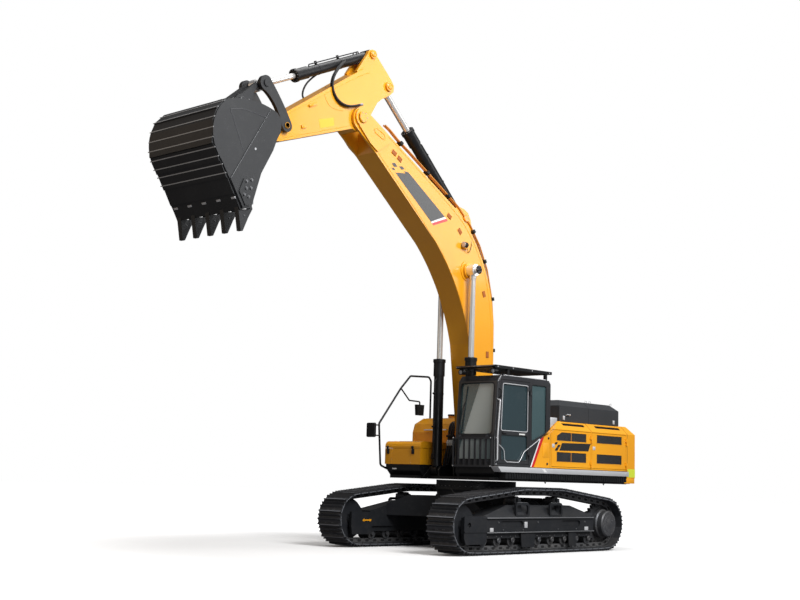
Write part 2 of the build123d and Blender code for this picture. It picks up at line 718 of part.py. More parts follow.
skirt_drop = 40.0
walk_out = 180.0                # walkway beyond the body side
skirt_out = 150.0
with BuildPart() as catwalk_left:
    # silver kick rail over a black ribbed skirt, below the cab and hood
    add(box((-2900, 1330), (deck_half - 20, deck_half + walk_out), (body_floor - 110, body_floor - 20)))
    add(box((-2880, 1190), (deck_half - 20, deck_half + skirt_out), (deck_low + skirt_drop, body_floor - 110)))
with BuildPart() as catwalk_right:
    add(box((-2900, deck_nose - 160), (-deck_half - 30, -deck_half + 60), (body_floor - 70, body_floor - 4)))
    add(box((-2880, deck_nose - 180), (-deck_half - 10, -deck_half + 40), (deck_low + 30, body_floor - 70)))

# -------------------------------------------------------------------------- cab
windshield_foot = 2160.0
windshield_head = cab_roof - 110.0
window_head = cab_roof - 140.0
door_head = cab_roof - 75.0
door_sill = body_floor + 40.0
cab_round = 40.0
front_low = (1700.0, 2110.0)     # lower front window
hatch_x = (250.0, 950.0)
rear_window = (2560.0, window_head - 40)
cab_outline = [cab_heel, (cab_front, body_floor), (cab_front, windshield_foot), (cab_front - 65, windshield_head),
               (cab_front - 150, cab_roof), (-330, cab_roof), (cab_rear, cab_roof - 70), (cab_rear, 2330), cab_knee]
cab_room = [(290, body_floor + 70), (cab_front - cab_wall, body_floor + 70), (cab_front - cab_wall, windshield_foot),
            (cab_front - 112, windshield_head - 10), (cab_front - 180, cab_roof - 60), (-310, cab_roof - 60),
            (cab_rear + cab_wall, cab_roof - 100), (cab_rear + cab_wall, 2355), (-120, 2215)]
door_cut = [(door_rear, door_sill), (door_front + 30, door_sill), (door_front + 30, windshield_foot),
            (door_front - 40, door_head), (door_rear, door_head)]
quarter_window = [(-250, 2255), (-120, 2205), (215, 2065), (215, window_head + 30), (-250, window_head + 30)]
inner_window = [(-250, 2330), (1130, 2130), (1080, window_head), (-250, window_head)]


def across(x_low, x_high, height, radius):
    """Rounded pane facing forward, between the cab's corner posts."""
    with BuildPart() as pane:
        with BuildSketch(Plane.YZ.offset(x_low)):
            with Locations(((cab_inner + cab_outer) / 2, (height[0] + height[1]) / 2)):
                RectangleRounded(cab_outer - cab_inner - 160, height[1] - height[0], radius)
        extrude(amount=x_high - x_low)
    return pane.part


def pane(points, radius, y_low, y_high):
    """Rounded pane in the side view."""
    with BuildPart() as sheet:
        extrude(rounded(side(y_high), points, radius), amount=y_high - y_low)
    return sheet.part


window_round = 45.0
windshield = (windshield_foot, window_head)
with BuildPart() as cab_frame:
    extrude(outline(side(cab_outer), cab_outline), amount=cab_outer - cab_inner)
    fillet([edge for edge in cab_frame.edges()
            if edge.center().X > cab_front - 160 and abs(edge.center().Y - (cab_inner + cab_outer) / 2) > 100], cab_round)
    extrude(outline(side(cab_outer - cab_wall), cab_room), amount=cab_outer - cab_inner - 2 * cab_wall, mode=Mode.SUBTRACT)
    # door opening and quarter window on the outer side, one large window on the boom side
    extrude(outline(side(cab_outer + 10), door_cut), amount=cab_wall + 20, mode=Mode.SUBTRACT)
    add(pane(quarter_window, window_round, cab_outer - cab_wall - 10, cab_outer + 10), mode=Mode.SUBTRACT)
    add(pane(inner_window, window_round, cab_inner - 10, cab_inner + cab_wall + 10), mode=Mode.SUBTRACT)
    # windshield, lower front window, rear window and roof hatch
    add(across(cab_front - 230, cab_front + 70, windshield, 90), mode=Mode.SUBTRACT)
    add(across(cab_front - 80, cab_front + 70, front_low, window_round), mode=Mode.SUBTRACT)
    add(across(cab_rear - 50, cab_rear + 80, rear_window, window_round), mode=Mode.SUBTRACT)
    add(box(hatch_x, (cab_inner + 180, cab_outer - 180), (cab_roof - 100, cab_roof + 50)), mode=Mode.SUBTRACT)
    add(upright_hinge(door_rear, cab_outer + hinge_stand, [z - hinge_length - 2 for z in cab_hinges], -45))

glass = 8.0
with BuildPart() as cab_glass:
    # windshield, cut from a leaning sheet
    add(plate([(cab_front - 35, windshield_foot), (cab_front - 35 + glass, windshield_foot),
               (cab_front - 98 + glass, window_head), (cab_front - 98, window_head)], cab_inner + 80, cab_outer - 80))
    add(across(cab_front - 230, cab_front + 70, windshield, 90), mode=Mode.INTERSECT)
    mid = cab_outer - cab_wall / 2
    inn = cab_inner + cab_wall / 2
    add(pane(quarter_window, window_round, mid - glass / 2, mid + glass / 2))
    add(pane(inner_window, window_round, inn - glass / 2, inn + glass / 2))
    add(across(cab_front - 30, cab_front - 30 + glass, front_low, window_round))
    add(across(cab_rear + 20, cab_rear + 20 + glass, rear_window, window_round))
    add(box(hatch_x, (cab_inner + 180, cab_outer - 180), (cab_roof - 34, cab_roof - 34 + glass)))

door_outline = [(door_rear + gap, door_sill + gap), (door_front + 30 - gap, door_sill + gap),
                (door_front + 30 - gap, windshield_foot), (door_front - 40 - gap, door_head - gap),
                (door_rear + gap, door_head - gap)]
door_windows = ([(door_rear + 60, 2250), (door_front - 65, 2250), (door_front - 105, window_head - 10),
                 (door_rear + 60, window_head - 10)],
                [(door_rear + 60, 1700), (door_front - 65, 1700), (door_front - 65, 2170), (door_rear + 60, 2170)])
with BuildPart() as cab_door:
    extrude(outline(side(cab_outer), door_outline), amount=cab_wall)
    for window in door_windows:
        add(pane(window, window_round, cab_outer - cab_wall - 10, cab_outer + 10), mode=Mode.SUBTRACT)
    add(box((1000, 1120), (cab_outer, cab_outer + 28), (2190, 2228)))      # handle
    add(upright_hinge(door_rear, cab_outer + hinge_stand, cab_hinges, 60))
with BuildPart() as door_glass:
    for window in door_windows:
        add(pane(window, window_round, mid - glass / 2, mid + glass / 2))

guard_low = cab_roof + 125.0
guard_bar = 55.0
roof_slats = 9
guard_x = (-440.0, 1340.0)
lamp_radius = 48.0
with BuildPart() as roof_guard:
    for y in (cab_inner + 10, cab_outer - 60):
        add(box(guard_x, (y, y + 50), (guard_low, guard_low + guard_bar)))
    for x in (guard_x[0], guard_x[1] - 60):
        add(box((x, x + 60), (cab_inner + 10, cab_outer - 10), (guard_low, guard_low + guard_bar)))
    for slat in range(roof_slats):
        x = -300 + slat * 1500 / (roof_slats - 1)
        add(box((x, x + 46), (cab_inner + 20, cab_outer - 20), (guard_low + 14, guard_low + 38)))
    for x in (-300, 900):
        for y in (cab_inner + 20, cab_outer - 70):
            add(box((x, x + 60), (y, y + 50), (cab_roof, guard_low)))
    # work lamps below the front corners
    for y in (cab_inner + 90, cab_outer - 90):
        add(lengthwise(guard_x[1] - 130, guard_x[1] - 40, y, guard_low - lamp_radius - 8, lamp_radius))
        add(box((guard_x[1] - 100, guard_x[1] - 60), (y - 20, y + 20), (guard_low - 60, guard_low + 20)))

bar_count = 8
guard_foot_z, guard_head_z = 1560.0, 2110.0
with BuildPart() as front_guard:
    for z in (guard_foot_z, guard_head_z - 36):
        add(box((cab_front + 40, cab_front + 70), (cab_inner, cab_outer - 20), (z, z + 36)))
    for bar in range(bar_count):
        y = cab_inner + (cab_outer - 50 - cab_inner) * bar / (bar_count - 1)
        add(box((cab_front + 44, cab_front + 66), (y, y + 30), (guard_foot_z, guard_head_z)))
        # the second and the last but one stand on the cab's sills
        if bar in (1, bar_count - 2):
            add(box((cab_front, cab_front + 60), (y, y + 30), (front_low[0] - 45, front_low[0] - 5)))
            add(box((cab_front, cab_front + 60), (y, y + 30), (front_low[1] + 5, windshield_foot - 10)))
            add(box((cab_front + 44, cab_front + 66), (y, y + 30), (guard_head_z - 20, windshield_foot - 10)))

seat_x = 520.0
seat_y = (cab_inner + cab_outer) / 2
cab_half = (cab_outer - cab_inner) / 2
seat_gap = 7.5                   # cushion to console
seat_half = cab_half - cab_wall - 177.5     # leaves each console 150 wide beside the cushion
arm_rest = 2230.0
with BuildPart() as operator_seat:
    add(box((seat_x - 180, seat_x + 200), (seat_y - 170, seat_y + 170), (body_floor + 70, 1960)))
    add(box((seat_x - 260, seat_x + 300), (seat_y - seat_half, seat_y + seat_half), (1960, 2090)))
    add(plate([(seat_x - 250, 2090), (seat_x - 130, 2090), (seat_x - 230, 2760), (seat_x - 330, 2760)],
              seat_y - seat_half + 10, seat_y + seat_half - 10))
    add(plate([(seat_x - 325, 2760), (seat_x - 245, 2760), (seat_x - 265, 2960), (seat_x - 335, 2960)],
              seat_y - 130, seat_y + 130))
with BuildPart() as operator_consoles:
    for out in (1, -1):
        near, far = sorted((seat_y + out * (seat_half + seat_gap), seat_y + out * (cab_half - cab_wall - 20)))
        add(box((seat_x - 150, seat_x + 420), (near, far), (body_floor + 70, arm_rest)))
        with Locations((seat_x + 340, (near + far) / 2, arm_rest + 80)):
            Cylinder(28, 160)

rail_radius = 20.0
rail_stand = 35.0               # rail's middle line, out from the body side
rail_y = -deck_half - rail_stand
rail_rear = -324.0
rail_foot = (962.0, 1500.0)
branch_lamp = (15.0, 2830.0)     # middle of the lamp's top
mirror_thick = 50.0
mirror_width = 225.0
mirror_height = 285.0
mirror_x = 1395.0
mirror_z = 2105.0
mirror_in = 50.0                # inner edge, in from the body side
with BuildPart() as handrail:
    route = [rail_foot, (1152, 1560), (1227, 2383), (609, 3129), (323, 3402), (rail_rear + 70, 3426), (rail_rear, 3350),
             (rail_rear, 2320)]
    with BuildLine(side(rail_y)) as rail_path:
        FilletPolyline(*route, radius=70)
    with BuildSketch(Plane(origin=rail_path.line @ 0, z_dir=rail_path.line % 0)):
        Circle(rail_radius)
    sweep()
    # branch with a lamp beside the tank
    with BuildLine(side(rail_y)) as branch_path:
        FilletPolyline((590, 3118), (340, 2900), (60, 2894), (15, 2894), (15, branch_lamp[1] - 10), radius=30)
    with BuildSketch(Plane(origin=branch_path.line @ 0, z_dir=branch_path.line % 0)):
        Circle(rail_radius - 5)
    sweep()
    add(plate([(branch_lamp[0] - 115, branch_lamp[1]), (branch_lamp[0] + 115, branch_lamp[1]), (branch_lamp[0] + 95, branch_lamp[1] - 220),
               (branch_lamp[0] - 95, branch_lamp[1] - 220)], rail_y - 35, rail_y + 30))
    # feet on the tank and the toolbox, arm of the mirror
    add(box((rail_rear - 20, rail_rear + 20), (rail_y - 15, -deck_half), (2300, 2340)))
    add(box((rail_foot[0] - 40, rail_foot[0] + 10), (rail_y - 15, -deck_half), (rail_foot[1] - 20, rail_foot[1] + 150)))
    for z in (mirror_z + 40, mirror_z + mirror_height - 40):
        add(box((1205, mirror_x), (rail_y - 12, rail_y + 12), (z - 12, z + 12)))
with BuildPart() as mirrors:
    add(box((mirror_x, mirror_x + mirror_thick), (-deck_half + mirror_in - mirror_width, -deck_half + mirror_in),
            (mirror_z, mirror_z + mirror_height)))
    fillet(mirrors.edges().filter_by(Axis.X), 30)
    fillet(mirrors.faces().sort_by(Axis.X)[-1].edges(), 15)

# --------------------------------------------------------------- boom and its rams
boom_root = 255.0
fork_doubler = [(3950, 7790), (3841, 7904), (3683, 7853), (3484, 7631), (3223, 7510), (3058, 7456), (3401, 7215),
                (3592, 7320), (3888, 7583)]
boom_lamp = (900.0, 5870.0)
fork_room = 420.0               # free circle about the arm pin between the fork's cheeks
with BuildPart() as boom:
    with BuildSketch(side(boom_half)):
        with BuildLine():
            # foot
            l1 = ThreePointArc((-155, 2100), (100, 2100 - boom_root), (355, 2120))
            # belly: straight, curved, straight
            l2 = Line(l1 @ 1, (600, 3950))
            l3 = ThreePointArc(l2 @ 1, (940, 4820), (1720, 5830))
            l4 = Line(l3 @ 1, (3440, 7200))
            l5 = Line(l4 @ 1, (3950, 7560))
            l6 = ThreePointArc(l5 @ 1, (3990, 7860), (3760, 7945))
            l7 = Line(l6 @ 1, (3560, 7850))
            l8 = Line(l7 @ 1, (1170, 6590))
            l9 = ThreePointArc(l8 @ 1, (240, 5640), (-145, 4100))
            l10 = Line(l9 @ 1, l1 @ 0)
        make_face()
    extrude(amount=2 * boom_half)
    # fork for the arm
    with BuildSketch(side(fork_gap)):
        with Locations(arm_pin):
            Circle(fork_room)
        with BuildLine():
            Polyline((3440, 7000), (4300, 7000), (4300, 8300), (3440, 8300), close=True)
        make_face()
    extrude(amount=2 * fork_gap, mode=Mode.SUBTRACT)
    # thicker cheeks and the arm pin
    for out in (1, -1):
        add(crosswise(arm_pin, 165, *span(out, fork_gap, fork_outer)))
        add(plate(fork_doubler, *span(out, boom_half - 5, fork_outer)))
        add(crosswise(boom_cylinder_eye, 200, *span(out, boom_half - 20, boom_half + 16)))
        add(crosswise(boom_cylinder_eye, 150, *span(out, boom_half - 20, boom_cylinder_y - 86)))
        add(crosswise(boom_foot, 190, *span(out, boom_half - 30, boom_half)))
    add(crosswise(arm_pin, 70, -fork_outer - 18, fork_outer + 18))
    # work lamp on a bracket on the driver's side
    add(box((boom_lamp[0] - 130, boom_lamp[0]), (boom_half - 5, boom_half + 75), (boom_lamp[1] - 66, boom_lamp[1] - 50)))
    add(lengthwise(boom_lamp[0] - 70, boom_lamp[0] + 30, boom_half + 68, boom_lamp[1], 52))
    # lugs for the arm cylinder's foot
    for out in (1, -1):
        add(plate([(520, 5950), (1180, 6560), (900, 6640), (760, 6620), (640, 6560), (560, 6440), (420, 5900)],
                  *span(out, 128, 175)))
    add(crosswise(arm_cylinder_foot, 56, -195, 195))
    # bore for the foot pin
    with BuildSketch(side(boom_half + 50)):
        with Locations(boom_foot):
            Circle(foot_pin_radius + pin_slack)
    extrude(amount=2 * boom_half + 100, mode=Mode.SUBTRACT)


def ram_barrel(foot, eye, y, length, radius, eye_radius, bore, cheek, rod_radius):
    """Cylinder barrel: foot eye with its bore, tube, gland collar at the open end."""
    body = Plane(origin=(foot[0], y, foot[1]), x_dir=(0, 1, 0), z_dir=(eye[0] - foot[0], 0, eye[1] - foot[1]))
    with BuildPart() as barrel:
        with BuildSketch(body.offset(eye_radius * 0.75)):
            Circle(radius)
        extrude(amount=length - eye_radius * 0.75)
        with BuildSketch(body.offset(length - 330)):
            Circle(radius + 14)
        extrude(amount=330)
        with BuildSketch(body.offset(length - 60)):
            Circle(radius + 26)
        extrude(amount=60)
        add(crosswise(foot, eye_radius, y - cheek, y + cheek))
        with BuildSketch(side(y + cheek + 10)):
            with Locations(foot):
                Circle(bore)
        extrude(amount=2 * cheek + 20, mode=Mode.SUBTRACT)
        # the tube is bored for the rod, from behind its foot eye to the open end
        with BuildSketch(body.offset(eye_radius + ram_end_wall)):
            Circle(rod_radius + rod_slack)
        extrude(amount=length, mode=Mode.SUBTRACT)
    return barrel.part


def ram_rod(foot, eye, y, start, radius, eye_radius, cheek):
    """Chromed rod from inside the gland to a solid eye."""
    body = Plane(origin=(foot[0], y, foot[1]), x_dir=(0, 1, 0), z_dir=(eye[0] - foot[0], 0, eye[1] - foot[1]))
    reach = hypot(eye[0] - foot[0], eye[1] - foot[1])
    with BuildPart() as rod:
        with BuildSketch(body.offset(start)):
            Circle(radius)
        extrude(amount=reach - start)
        with BuildSketch(body.offset(reach - eye_radius - 60)):
            Circle(min(radius + 16, cheek - 8))
        extrude(amount=eye_radius + 60)
        add(crosswise(eye, eye_radius, y - cheek, y + cheek))
    return rod.part


ram_end_wall = 40.0
rod_slack = 4.0

boom_barrel_length = 2170.0
boom_rod_radius = 56.0
boom_rod_start = 1700.0          # rod's inner end, from the foot pin
with BuildPart() as boom_cylinder_barrels:
    for out in (1, -1):
        add(ram_barrel(boom_cylinder_foot, boom_cylinder_eye, out * boom_cylinder_y, boom_barrel_length, ram_tube, 100,
                       50 + pin_slack, ram_eye_half, boom_rod_radius))
with BuildPart() as boom_cylinder_rods:
    for out in (1, -1):
        add(ram_rod(boom_cylinder_foot, boom_cylinder_eye, out * boom_cylinder_y, boom_rod_start, boom_rod_radius, 118, 78))
        add(crosswise(boom_cylinder_eye, 62, *span(out, boom_cylinder_y + 78, 545)))

arm_barrel_length = 2160.0
arm_rod_radius = 62.0
arm_rod_start = 860.0
with BuildPart() as arm_cylinder_barrel:
    add(ram_barrel(arm_cylinder_foot, arm_cylinder_eye, 0, arm_barrel_length, 106, 125, 57, 118, arm_rod_radius))
with BuildPart() as arm_cylinder_rod:
    add(ram_rod(arm_cylinder_foot, arm_cylinder_eye, 0, arm_rod_start, arm_rod_radius, 118, 88))

# --------------------------------------------------------------------- arm
with BuildPart() as arm:
    with BuildSketch(side(arm_half)):
        with BuildLine():
            a1 = Line((3990, 7530), (5740, 6905))
            a2 = Line(a1 @ 1, (6185, 6870))
            a3 = ThreePointArc(a2 @ 1, (6355, 7000), (6240, 7133))
            a4 = Line(a3 @ 1, (5580, 7470))
            a5 = Line(a4 @ 1, (3740, 8720))
            a6 = Line(a5 @ 1, (3600, 8740))
            a7 = Line(a6 @ 1, (3270, 8520))
            a8 = Line(a7 @ 1, (3260, 8330))
            a9 = Line(a8 @ 1, (3640, 7700))
            a10 = ThreePointArc(a9 @ 1, (3780, 7530), (3990, 7530))
        make_face()
    extrude(amount=2 * arm_half)
    # ears for the arm cylinder's eye and the bucket cylinder's foot
    for out in (1, -1):
        y_low, y_high = span(out, 100, 165)
        add(plate([(3420, 8100), (3230, 8260), (3000, 8400), (2910, 8480), (2900, 8600), (2980, 8700), (3420, 9080), (3500, 9150),
                   (3600, 9110), (3640, 9020), (3900, 8640)], y_low, y_high))
        add(crosswise(arm_cylinder_eye, 90, *span(out, 160, 205)))
        add(crosswise(bucket_cylinder_foot, 80, *span(out, 160, 200)))
        add(crosswise(link_pin, 110, *span(out, arm_half - 10, arm_half + 8)))
    add(crosswise(bucket_cylinder_foot, 50, -150, 150))
    add(crosswise(link_pin, 52, -292, 292))
    # room for the cylinder's eye between the ears
    with BuildSketch(side(96)):
        with Locations(arm_cylinder_eye):
            Circle(330)
    extrude(amount=192, mode=Mode.SUBTRACT)
    with BuildSketch(side(arm_half + 60)):
        with Locations(arm_pin):
            Circle(70 + pin_slack)
        with Locations(bucket_pin):
            Circle(60 + pin_slack)
    extrude(amount=2 * arm_half + 120, mode=Mode.SUBTRACT)

bucket_barrel_length = 1980.0
bucket_rod_radius = 52.0
bucket_rod_start = 1300.0
with BuildPart() as bucket_cylinder_barrel:
    add(ram_barrel(bucket_cylinder_foot, link_top, 0, bucket_barrel_length, 94, 108, 52, 90, bucket_rod_radius))
with BuildPart() as bucket_cylinder_rod:
    add(ram_rod(bucket_cylinder_foot, link_top, 0, bucket_rod_start, bucket_rod_radius, 108, 66))

link_in = arm_half + 16.0
link_out = link_in + 72.0
with BuildPart() as side_links:
    for out in (1, -1):
        y_low, y_high = span(out, link_in, link_out)
        with BuildSketch(side(y_high)):
            with Locations(link_pin):
                Circle(112)
            with Locations(link_top):
                Circle(135)
            with BuildLine():
                s1 = ThreePointArc((5765, 7150), (5924, 7466), (6250, 7720))
                s2 = Line(s1 @ 1, (6080, 7918))
                s3 = ThreePointArc(s2 @ 1, (5796, 7596), (5545, 7235))
                s4 = Line(s3 @ 1, s1 @ 0)
            make_face()
            with Locations(link_pin):
                Circle(52 + pin_slack, mode=Mode.SUBTRACT)
        extrude(amount=y_high - y_low)
        add(crosswise(link_top, 62, *span(out, link_out, link_out + 22)))

# ------------------------------------------------------------------ bucket linkage
ear_in = 205.0
ear_out = 262.0
with BuildPart() as power_link:
    for out in (1, -1):
        add(strap([link_top, bucket_link_pin], [84, 100], *span(out, 86, 196)))
    # web between the cheeks, clear of the cylinder's eye; scooped below, clear of the arm's tip
    add(strap([along(link_top, bucket_link_pin, 440), bucket_link_pin], [60, 100], -90, 90))
    add(crosswise((6165, 7545), 195, -220, 220), mode=Mode.SUBTRACT)
    with BuildSketch(side(220)):
        with Locations(bucket_link_pin):
            Circle(55 + pin_slack)
    extrude(amount=440, mode=Mode.SUBTRACT)

bucket_lip = (6830.0, 5480.0)
throat = 300.0                  # room for the arm's tip, about the bucket pin
throat_skin = 24.0
room = ((5900, 6700), (6600, 5200), (6860, 5380), (7438, 6150))


def bucket_room(y_low, y_high, keep):
    """Space inside the bucket between two planes, less a round stretch about the bucket pin."""
    with BuildPart() as space:
        with BuildSketch(side(y_high)):
            with BuildLine():
                c1 = Polyline(*room)
                c2 = ThreePointArc(c1 @ 1, (7600, 6780), (7385, 7090))
                c3 = ThreePointArc(c2 @ 1, (6900, 7180), (6440, 7120))
                c4 = Line(c3 @ 1, c1 @ 0)
            make_face()
            if keep:
                with Locations(bucket_pin):
                    Circle(keep, mode=Mode.SUBTRACT)
        extrude(amount=y_high - y_low)
    return space.part


bucket_reach = 7670.0            # farthest point of the bucket's back
doubler_thick = 12.0
cutter_thick = 30.0
side_doubler = [(6500, 7160), (7284, 5871), (7015, 5462), (6870, 5500), (6700, 6033), (6600, 6290), (6400, 6600),
                (6280, 6850), (6300, 7045), (6400, 7140)]
side_cutter = [(7028, 5918), (6929, 5966), (6801, 5963), (6768, 5856), (6884, 5522), (6973, 5492), (7112, 5705)]
strip_thin = 20.0                # wear strips, where each tucks under the next
strip_thick = 36.0


def shingle(near, far):
    """Outline of a wear strip along the chord from near to far."""
    run = (far - near).normalized()
    out = Vector(run.Y, -run.X)
    return [(p.X, p.Y) for p in (near - out * 10, far - out * 10, far + out * strip_thin, near + out * strip_thick)]


with BuildPart() as bucket:
    with BuildSketch(side(bucket_half)):
        with BuildLine():
            b1 = Line((6270, 6900), (6420, 6500))
            b2 = Line(b1 @ 1, (6650, 6080))
            b3 = Line(b2 @ 1, bucket_lip)
            b4 = Line(b3 @ 1, (7000, 5440))
            b5 = Line(b4 @ 1, (7470, 6130))
            b6 = ThreePointArc(b5 @ 1, (7640, 6800), (7400, 7130))
            b7 = ThreePointArc(b6 @ 1, (6900, 7225), (6440, 7170))
            b8 = ThreePointArc(b7 @ 1, (6290, 7060), (6270, 6900))
        make_face()
    extrude(amount=2 * bucket_half)
    # wear strips lie like shingles along the floor and up the back
    for edge, count in ((b5, 3), (b6, 4)):
        for strip in range(count):
            add(plate(shingle(edge @ (strip / count), edge @ ((strip + 1) / count)), -bucket_half + 25, bucket_half - 25))
    add(box((bucket_reach, bucket_reach + 200), (-bucket_half - 10, bucket_half + 10), (5000, 7500)), mode=Mode.SUBTRACT)
    # doubler round the mouth and bolted side cutters
    for out in (1, -1):
        add(plate(side_doubler, *span(out, bucket_half - 5, bucket_half + doubler_thick)))
        add(plate(side_cutter, *span(out, bucket_half - 10, bucket_half + cutter_thick)))
    # ears for the arm and the power link
    for out in (1, -1):
        y_low, y_high = span(out, ear_in, ear_out)
        with BuildSketch(side(y_high)):
            with Locations(bucket_pin):
                Circle(150)
            with Locations(bucket_link_pin):
                Circle(130)
            with BuildLine():
                Polyline((6130, 6890), (6600, 7110), (7300, 7160), (7000, 7260), (6770, 7420), (6590, 7470), (6110, 7100),
                         close=True)
            make_face()
        extrude(amount=y_high - y_low)
    # hollow, open along the mouth
    for out in (1, -1):
        add(bucket_room(*span(out, ear_out, bucket_half - bucket_wall), 0), mode=Mode.SUBTRACT)
    add(bucket_room(-ear_out, ear_out, throat + throat_skin), mode=Mode.SUBTRACT)
    # room for the arm's tip between the ears
    with BuildSketch(side(ear_in)):
        with Locations(bucket_pin):
            Circle(throat)
    extrude(amount=2 * ear_in, mode=Mode.SUBTRACT)
    add(crosswise(bucket_pin, 60, -ear_out - 25, ear_out + 25))
    add(crosswise(bucket_link_pin, 55, -ear_out - 25, ear_out + 25))

with BuildPart() as bucket_teeth:
    for tooth in range(tooth_count):
        y = -bucket_half + 95 + tooth * (2 * bucket_half - 190) / (tooth_count - 1)
        add(plate([(6815, 5470), (6790, 5560), (6760, 5480), (6840, 5330), (6940, 5100), (6985, 5100), (7030, 5330),
                   (7060, 5480), (7085, 5600), (7030, 5520), (7000, 5435)], y - 48, y + 48))
    # the adapters straddle the lip
    add(bucket.part, mode=Mode.SUBTRACT)

# ------------------------------------------------------------------ write the pieces
pieces = {
    "car_body": car_body.part,
    "slew_ring": slew_ring.part,
    "deck": deck.part,
    "counterweight": counterweight.part,
    "hood_shell": hood_shell.part,
    "engine_cover": engine_cover.part,
    "engine_block": engine_block.part,
    "fuel_tank": fuel_tank.part,
    "toolbox": toolbox.part,
    "toolbox_lid": toolbox_lid.part,
    "catwalk_left": catwalk_left.part,
    "catwalk_right": catwalk_right.part,
    "cab_frame": cab_frame.part,
    "cab_glass": cab_glass.part,
    "cab_door": cab_door.part,
    "door_glass": door_glass.part,
    "roof_guard": roof_guard.part,
    "front_guard": front_guard.part,
    "operator_seat": operator_seat.part,
    "operator_consoles": operator_consoles.part,
    "handrail": handrail.part,
    "mirrors": mirrors.part,
    "boom": boom.part,
    "boom_cylinder_barrels": boom_cylinder_barrels.part,
    "boom_cylinder_rods": boom_cylinder_rods.part,
    "arm_cylinder_barrel": arm_cylinder_barrel.part,
    "arm_cylinder_rod": arm_cylinder_rod.part,
    "arm": arm.part,
    "bucket_cylinder_barrel": bucket_cylinder_barrel.part,
    "bucket_cylinder_rod": bucket_cylinder_rod.part,
    "side_links": side_links.part,
    "power_link": power_link.part,
    "bucket": bucket.part,
    "bucket_teeth": bucket_teeth.part,
}
for group, parts in (("track", tracks), ("idler", idlers), ("sprocket", sprockets), ("rollers", roller_rows),
                     ("track_frame", track_frames)):
    for place, piece in parts.items():
        pieces[f"{group}_{place}"] = piece
pieces.update(side_doors)

os.makedirs("parts", exist_ok=True)
for name, piece in pieces.items():
    placed = piece.moved(Location((swing_axis_x, 0, 0)))
    placed.label = name
    export_step(placed, f"parts/{name}.step")
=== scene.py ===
"""Crawler excavator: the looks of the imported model.

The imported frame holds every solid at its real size. This script gives each node its finish, adds the
small pieces that ride on the machine's bodies, and sets up a plain studio with one camera.
All lengths are in metres and all places in the frame's own axes: +X to the front, +Y to the driver's
left, +Z up. Places that belong to the machine are written from its swing axis, with at().
"""

from __future__ import annotations

import json
import logging
import math
from dataclasses import dataclass, field
from enum import Enum
from typing import Iterable, Sequence

import bpy
from mathutils import Matrix, Vector


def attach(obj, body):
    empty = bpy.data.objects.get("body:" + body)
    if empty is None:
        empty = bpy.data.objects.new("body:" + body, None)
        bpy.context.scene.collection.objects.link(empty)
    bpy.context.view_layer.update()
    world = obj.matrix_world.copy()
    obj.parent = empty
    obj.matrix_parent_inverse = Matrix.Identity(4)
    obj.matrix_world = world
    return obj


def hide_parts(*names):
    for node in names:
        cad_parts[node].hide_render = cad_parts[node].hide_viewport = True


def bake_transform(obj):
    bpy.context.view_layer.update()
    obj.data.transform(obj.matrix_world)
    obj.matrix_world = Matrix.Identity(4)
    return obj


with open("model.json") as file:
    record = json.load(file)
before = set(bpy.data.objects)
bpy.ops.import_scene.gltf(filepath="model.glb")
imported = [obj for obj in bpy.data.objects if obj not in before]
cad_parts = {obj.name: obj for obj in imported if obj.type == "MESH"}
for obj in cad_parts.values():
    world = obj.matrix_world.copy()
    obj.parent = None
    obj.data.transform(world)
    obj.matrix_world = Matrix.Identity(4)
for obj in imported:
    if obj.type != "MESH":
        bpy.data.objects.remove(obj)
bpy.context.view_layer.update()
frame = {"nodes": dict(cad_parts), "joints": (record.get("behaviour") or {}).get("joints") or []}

log = logging.getLogger("excavator")
SWING_X = next(joint["pos_m"][0] for joint in frame["joints"] if joint["name"] == "swing")

Point = Sequence[float]
Points = Sequence[Point]
Colour = tuple[float, float, float]
Piece = bpy.types.Object
Material = bpy.types.Material
Node = bpy.types.Node
Socket = bpy.types.NodeSocket
BoltPlace = tuple[Vector, Vector, float]

AHEAD, LEFTWARD, UP = Vector((1, 0, 0)), Vector((0, 1, 0)), Vector((0, 0, 1))
MERGE_DISTANCE = 1e-5
BEVEL_ANGLE, SMOOTH_ANGLE = math.radians(40), math.radians(35)
CORNER_SHARE, BEND_SHARE = 1 / 2.1, 0.45


# ----------------------------------------------------------------------------------------- places
def at(x: float, y: float, z: float) -> Vector:
    """Place in the frame of a point measured from the swing axis."""
    return Vector((x + SWING_X, y, z))


class Side(Enum):
    """The two sides of the machine, as factors of Y."""

    LEFT = 1
    RIGHT = -1

    @property
    def out(self) -> Vector:
        """Direction away from the middle plane."""
        return Vector((0, self.value, 0))

    @property
    def tag(self) -> str:
        """Ending of a piece's name."""
        return self.name.lower()

    def span(self, near: float, far: float) -> list[float]:
        """Two distances from the middle plane as limits along Y, lowest first."""
        return sorted((self.value * near, self.value * far))


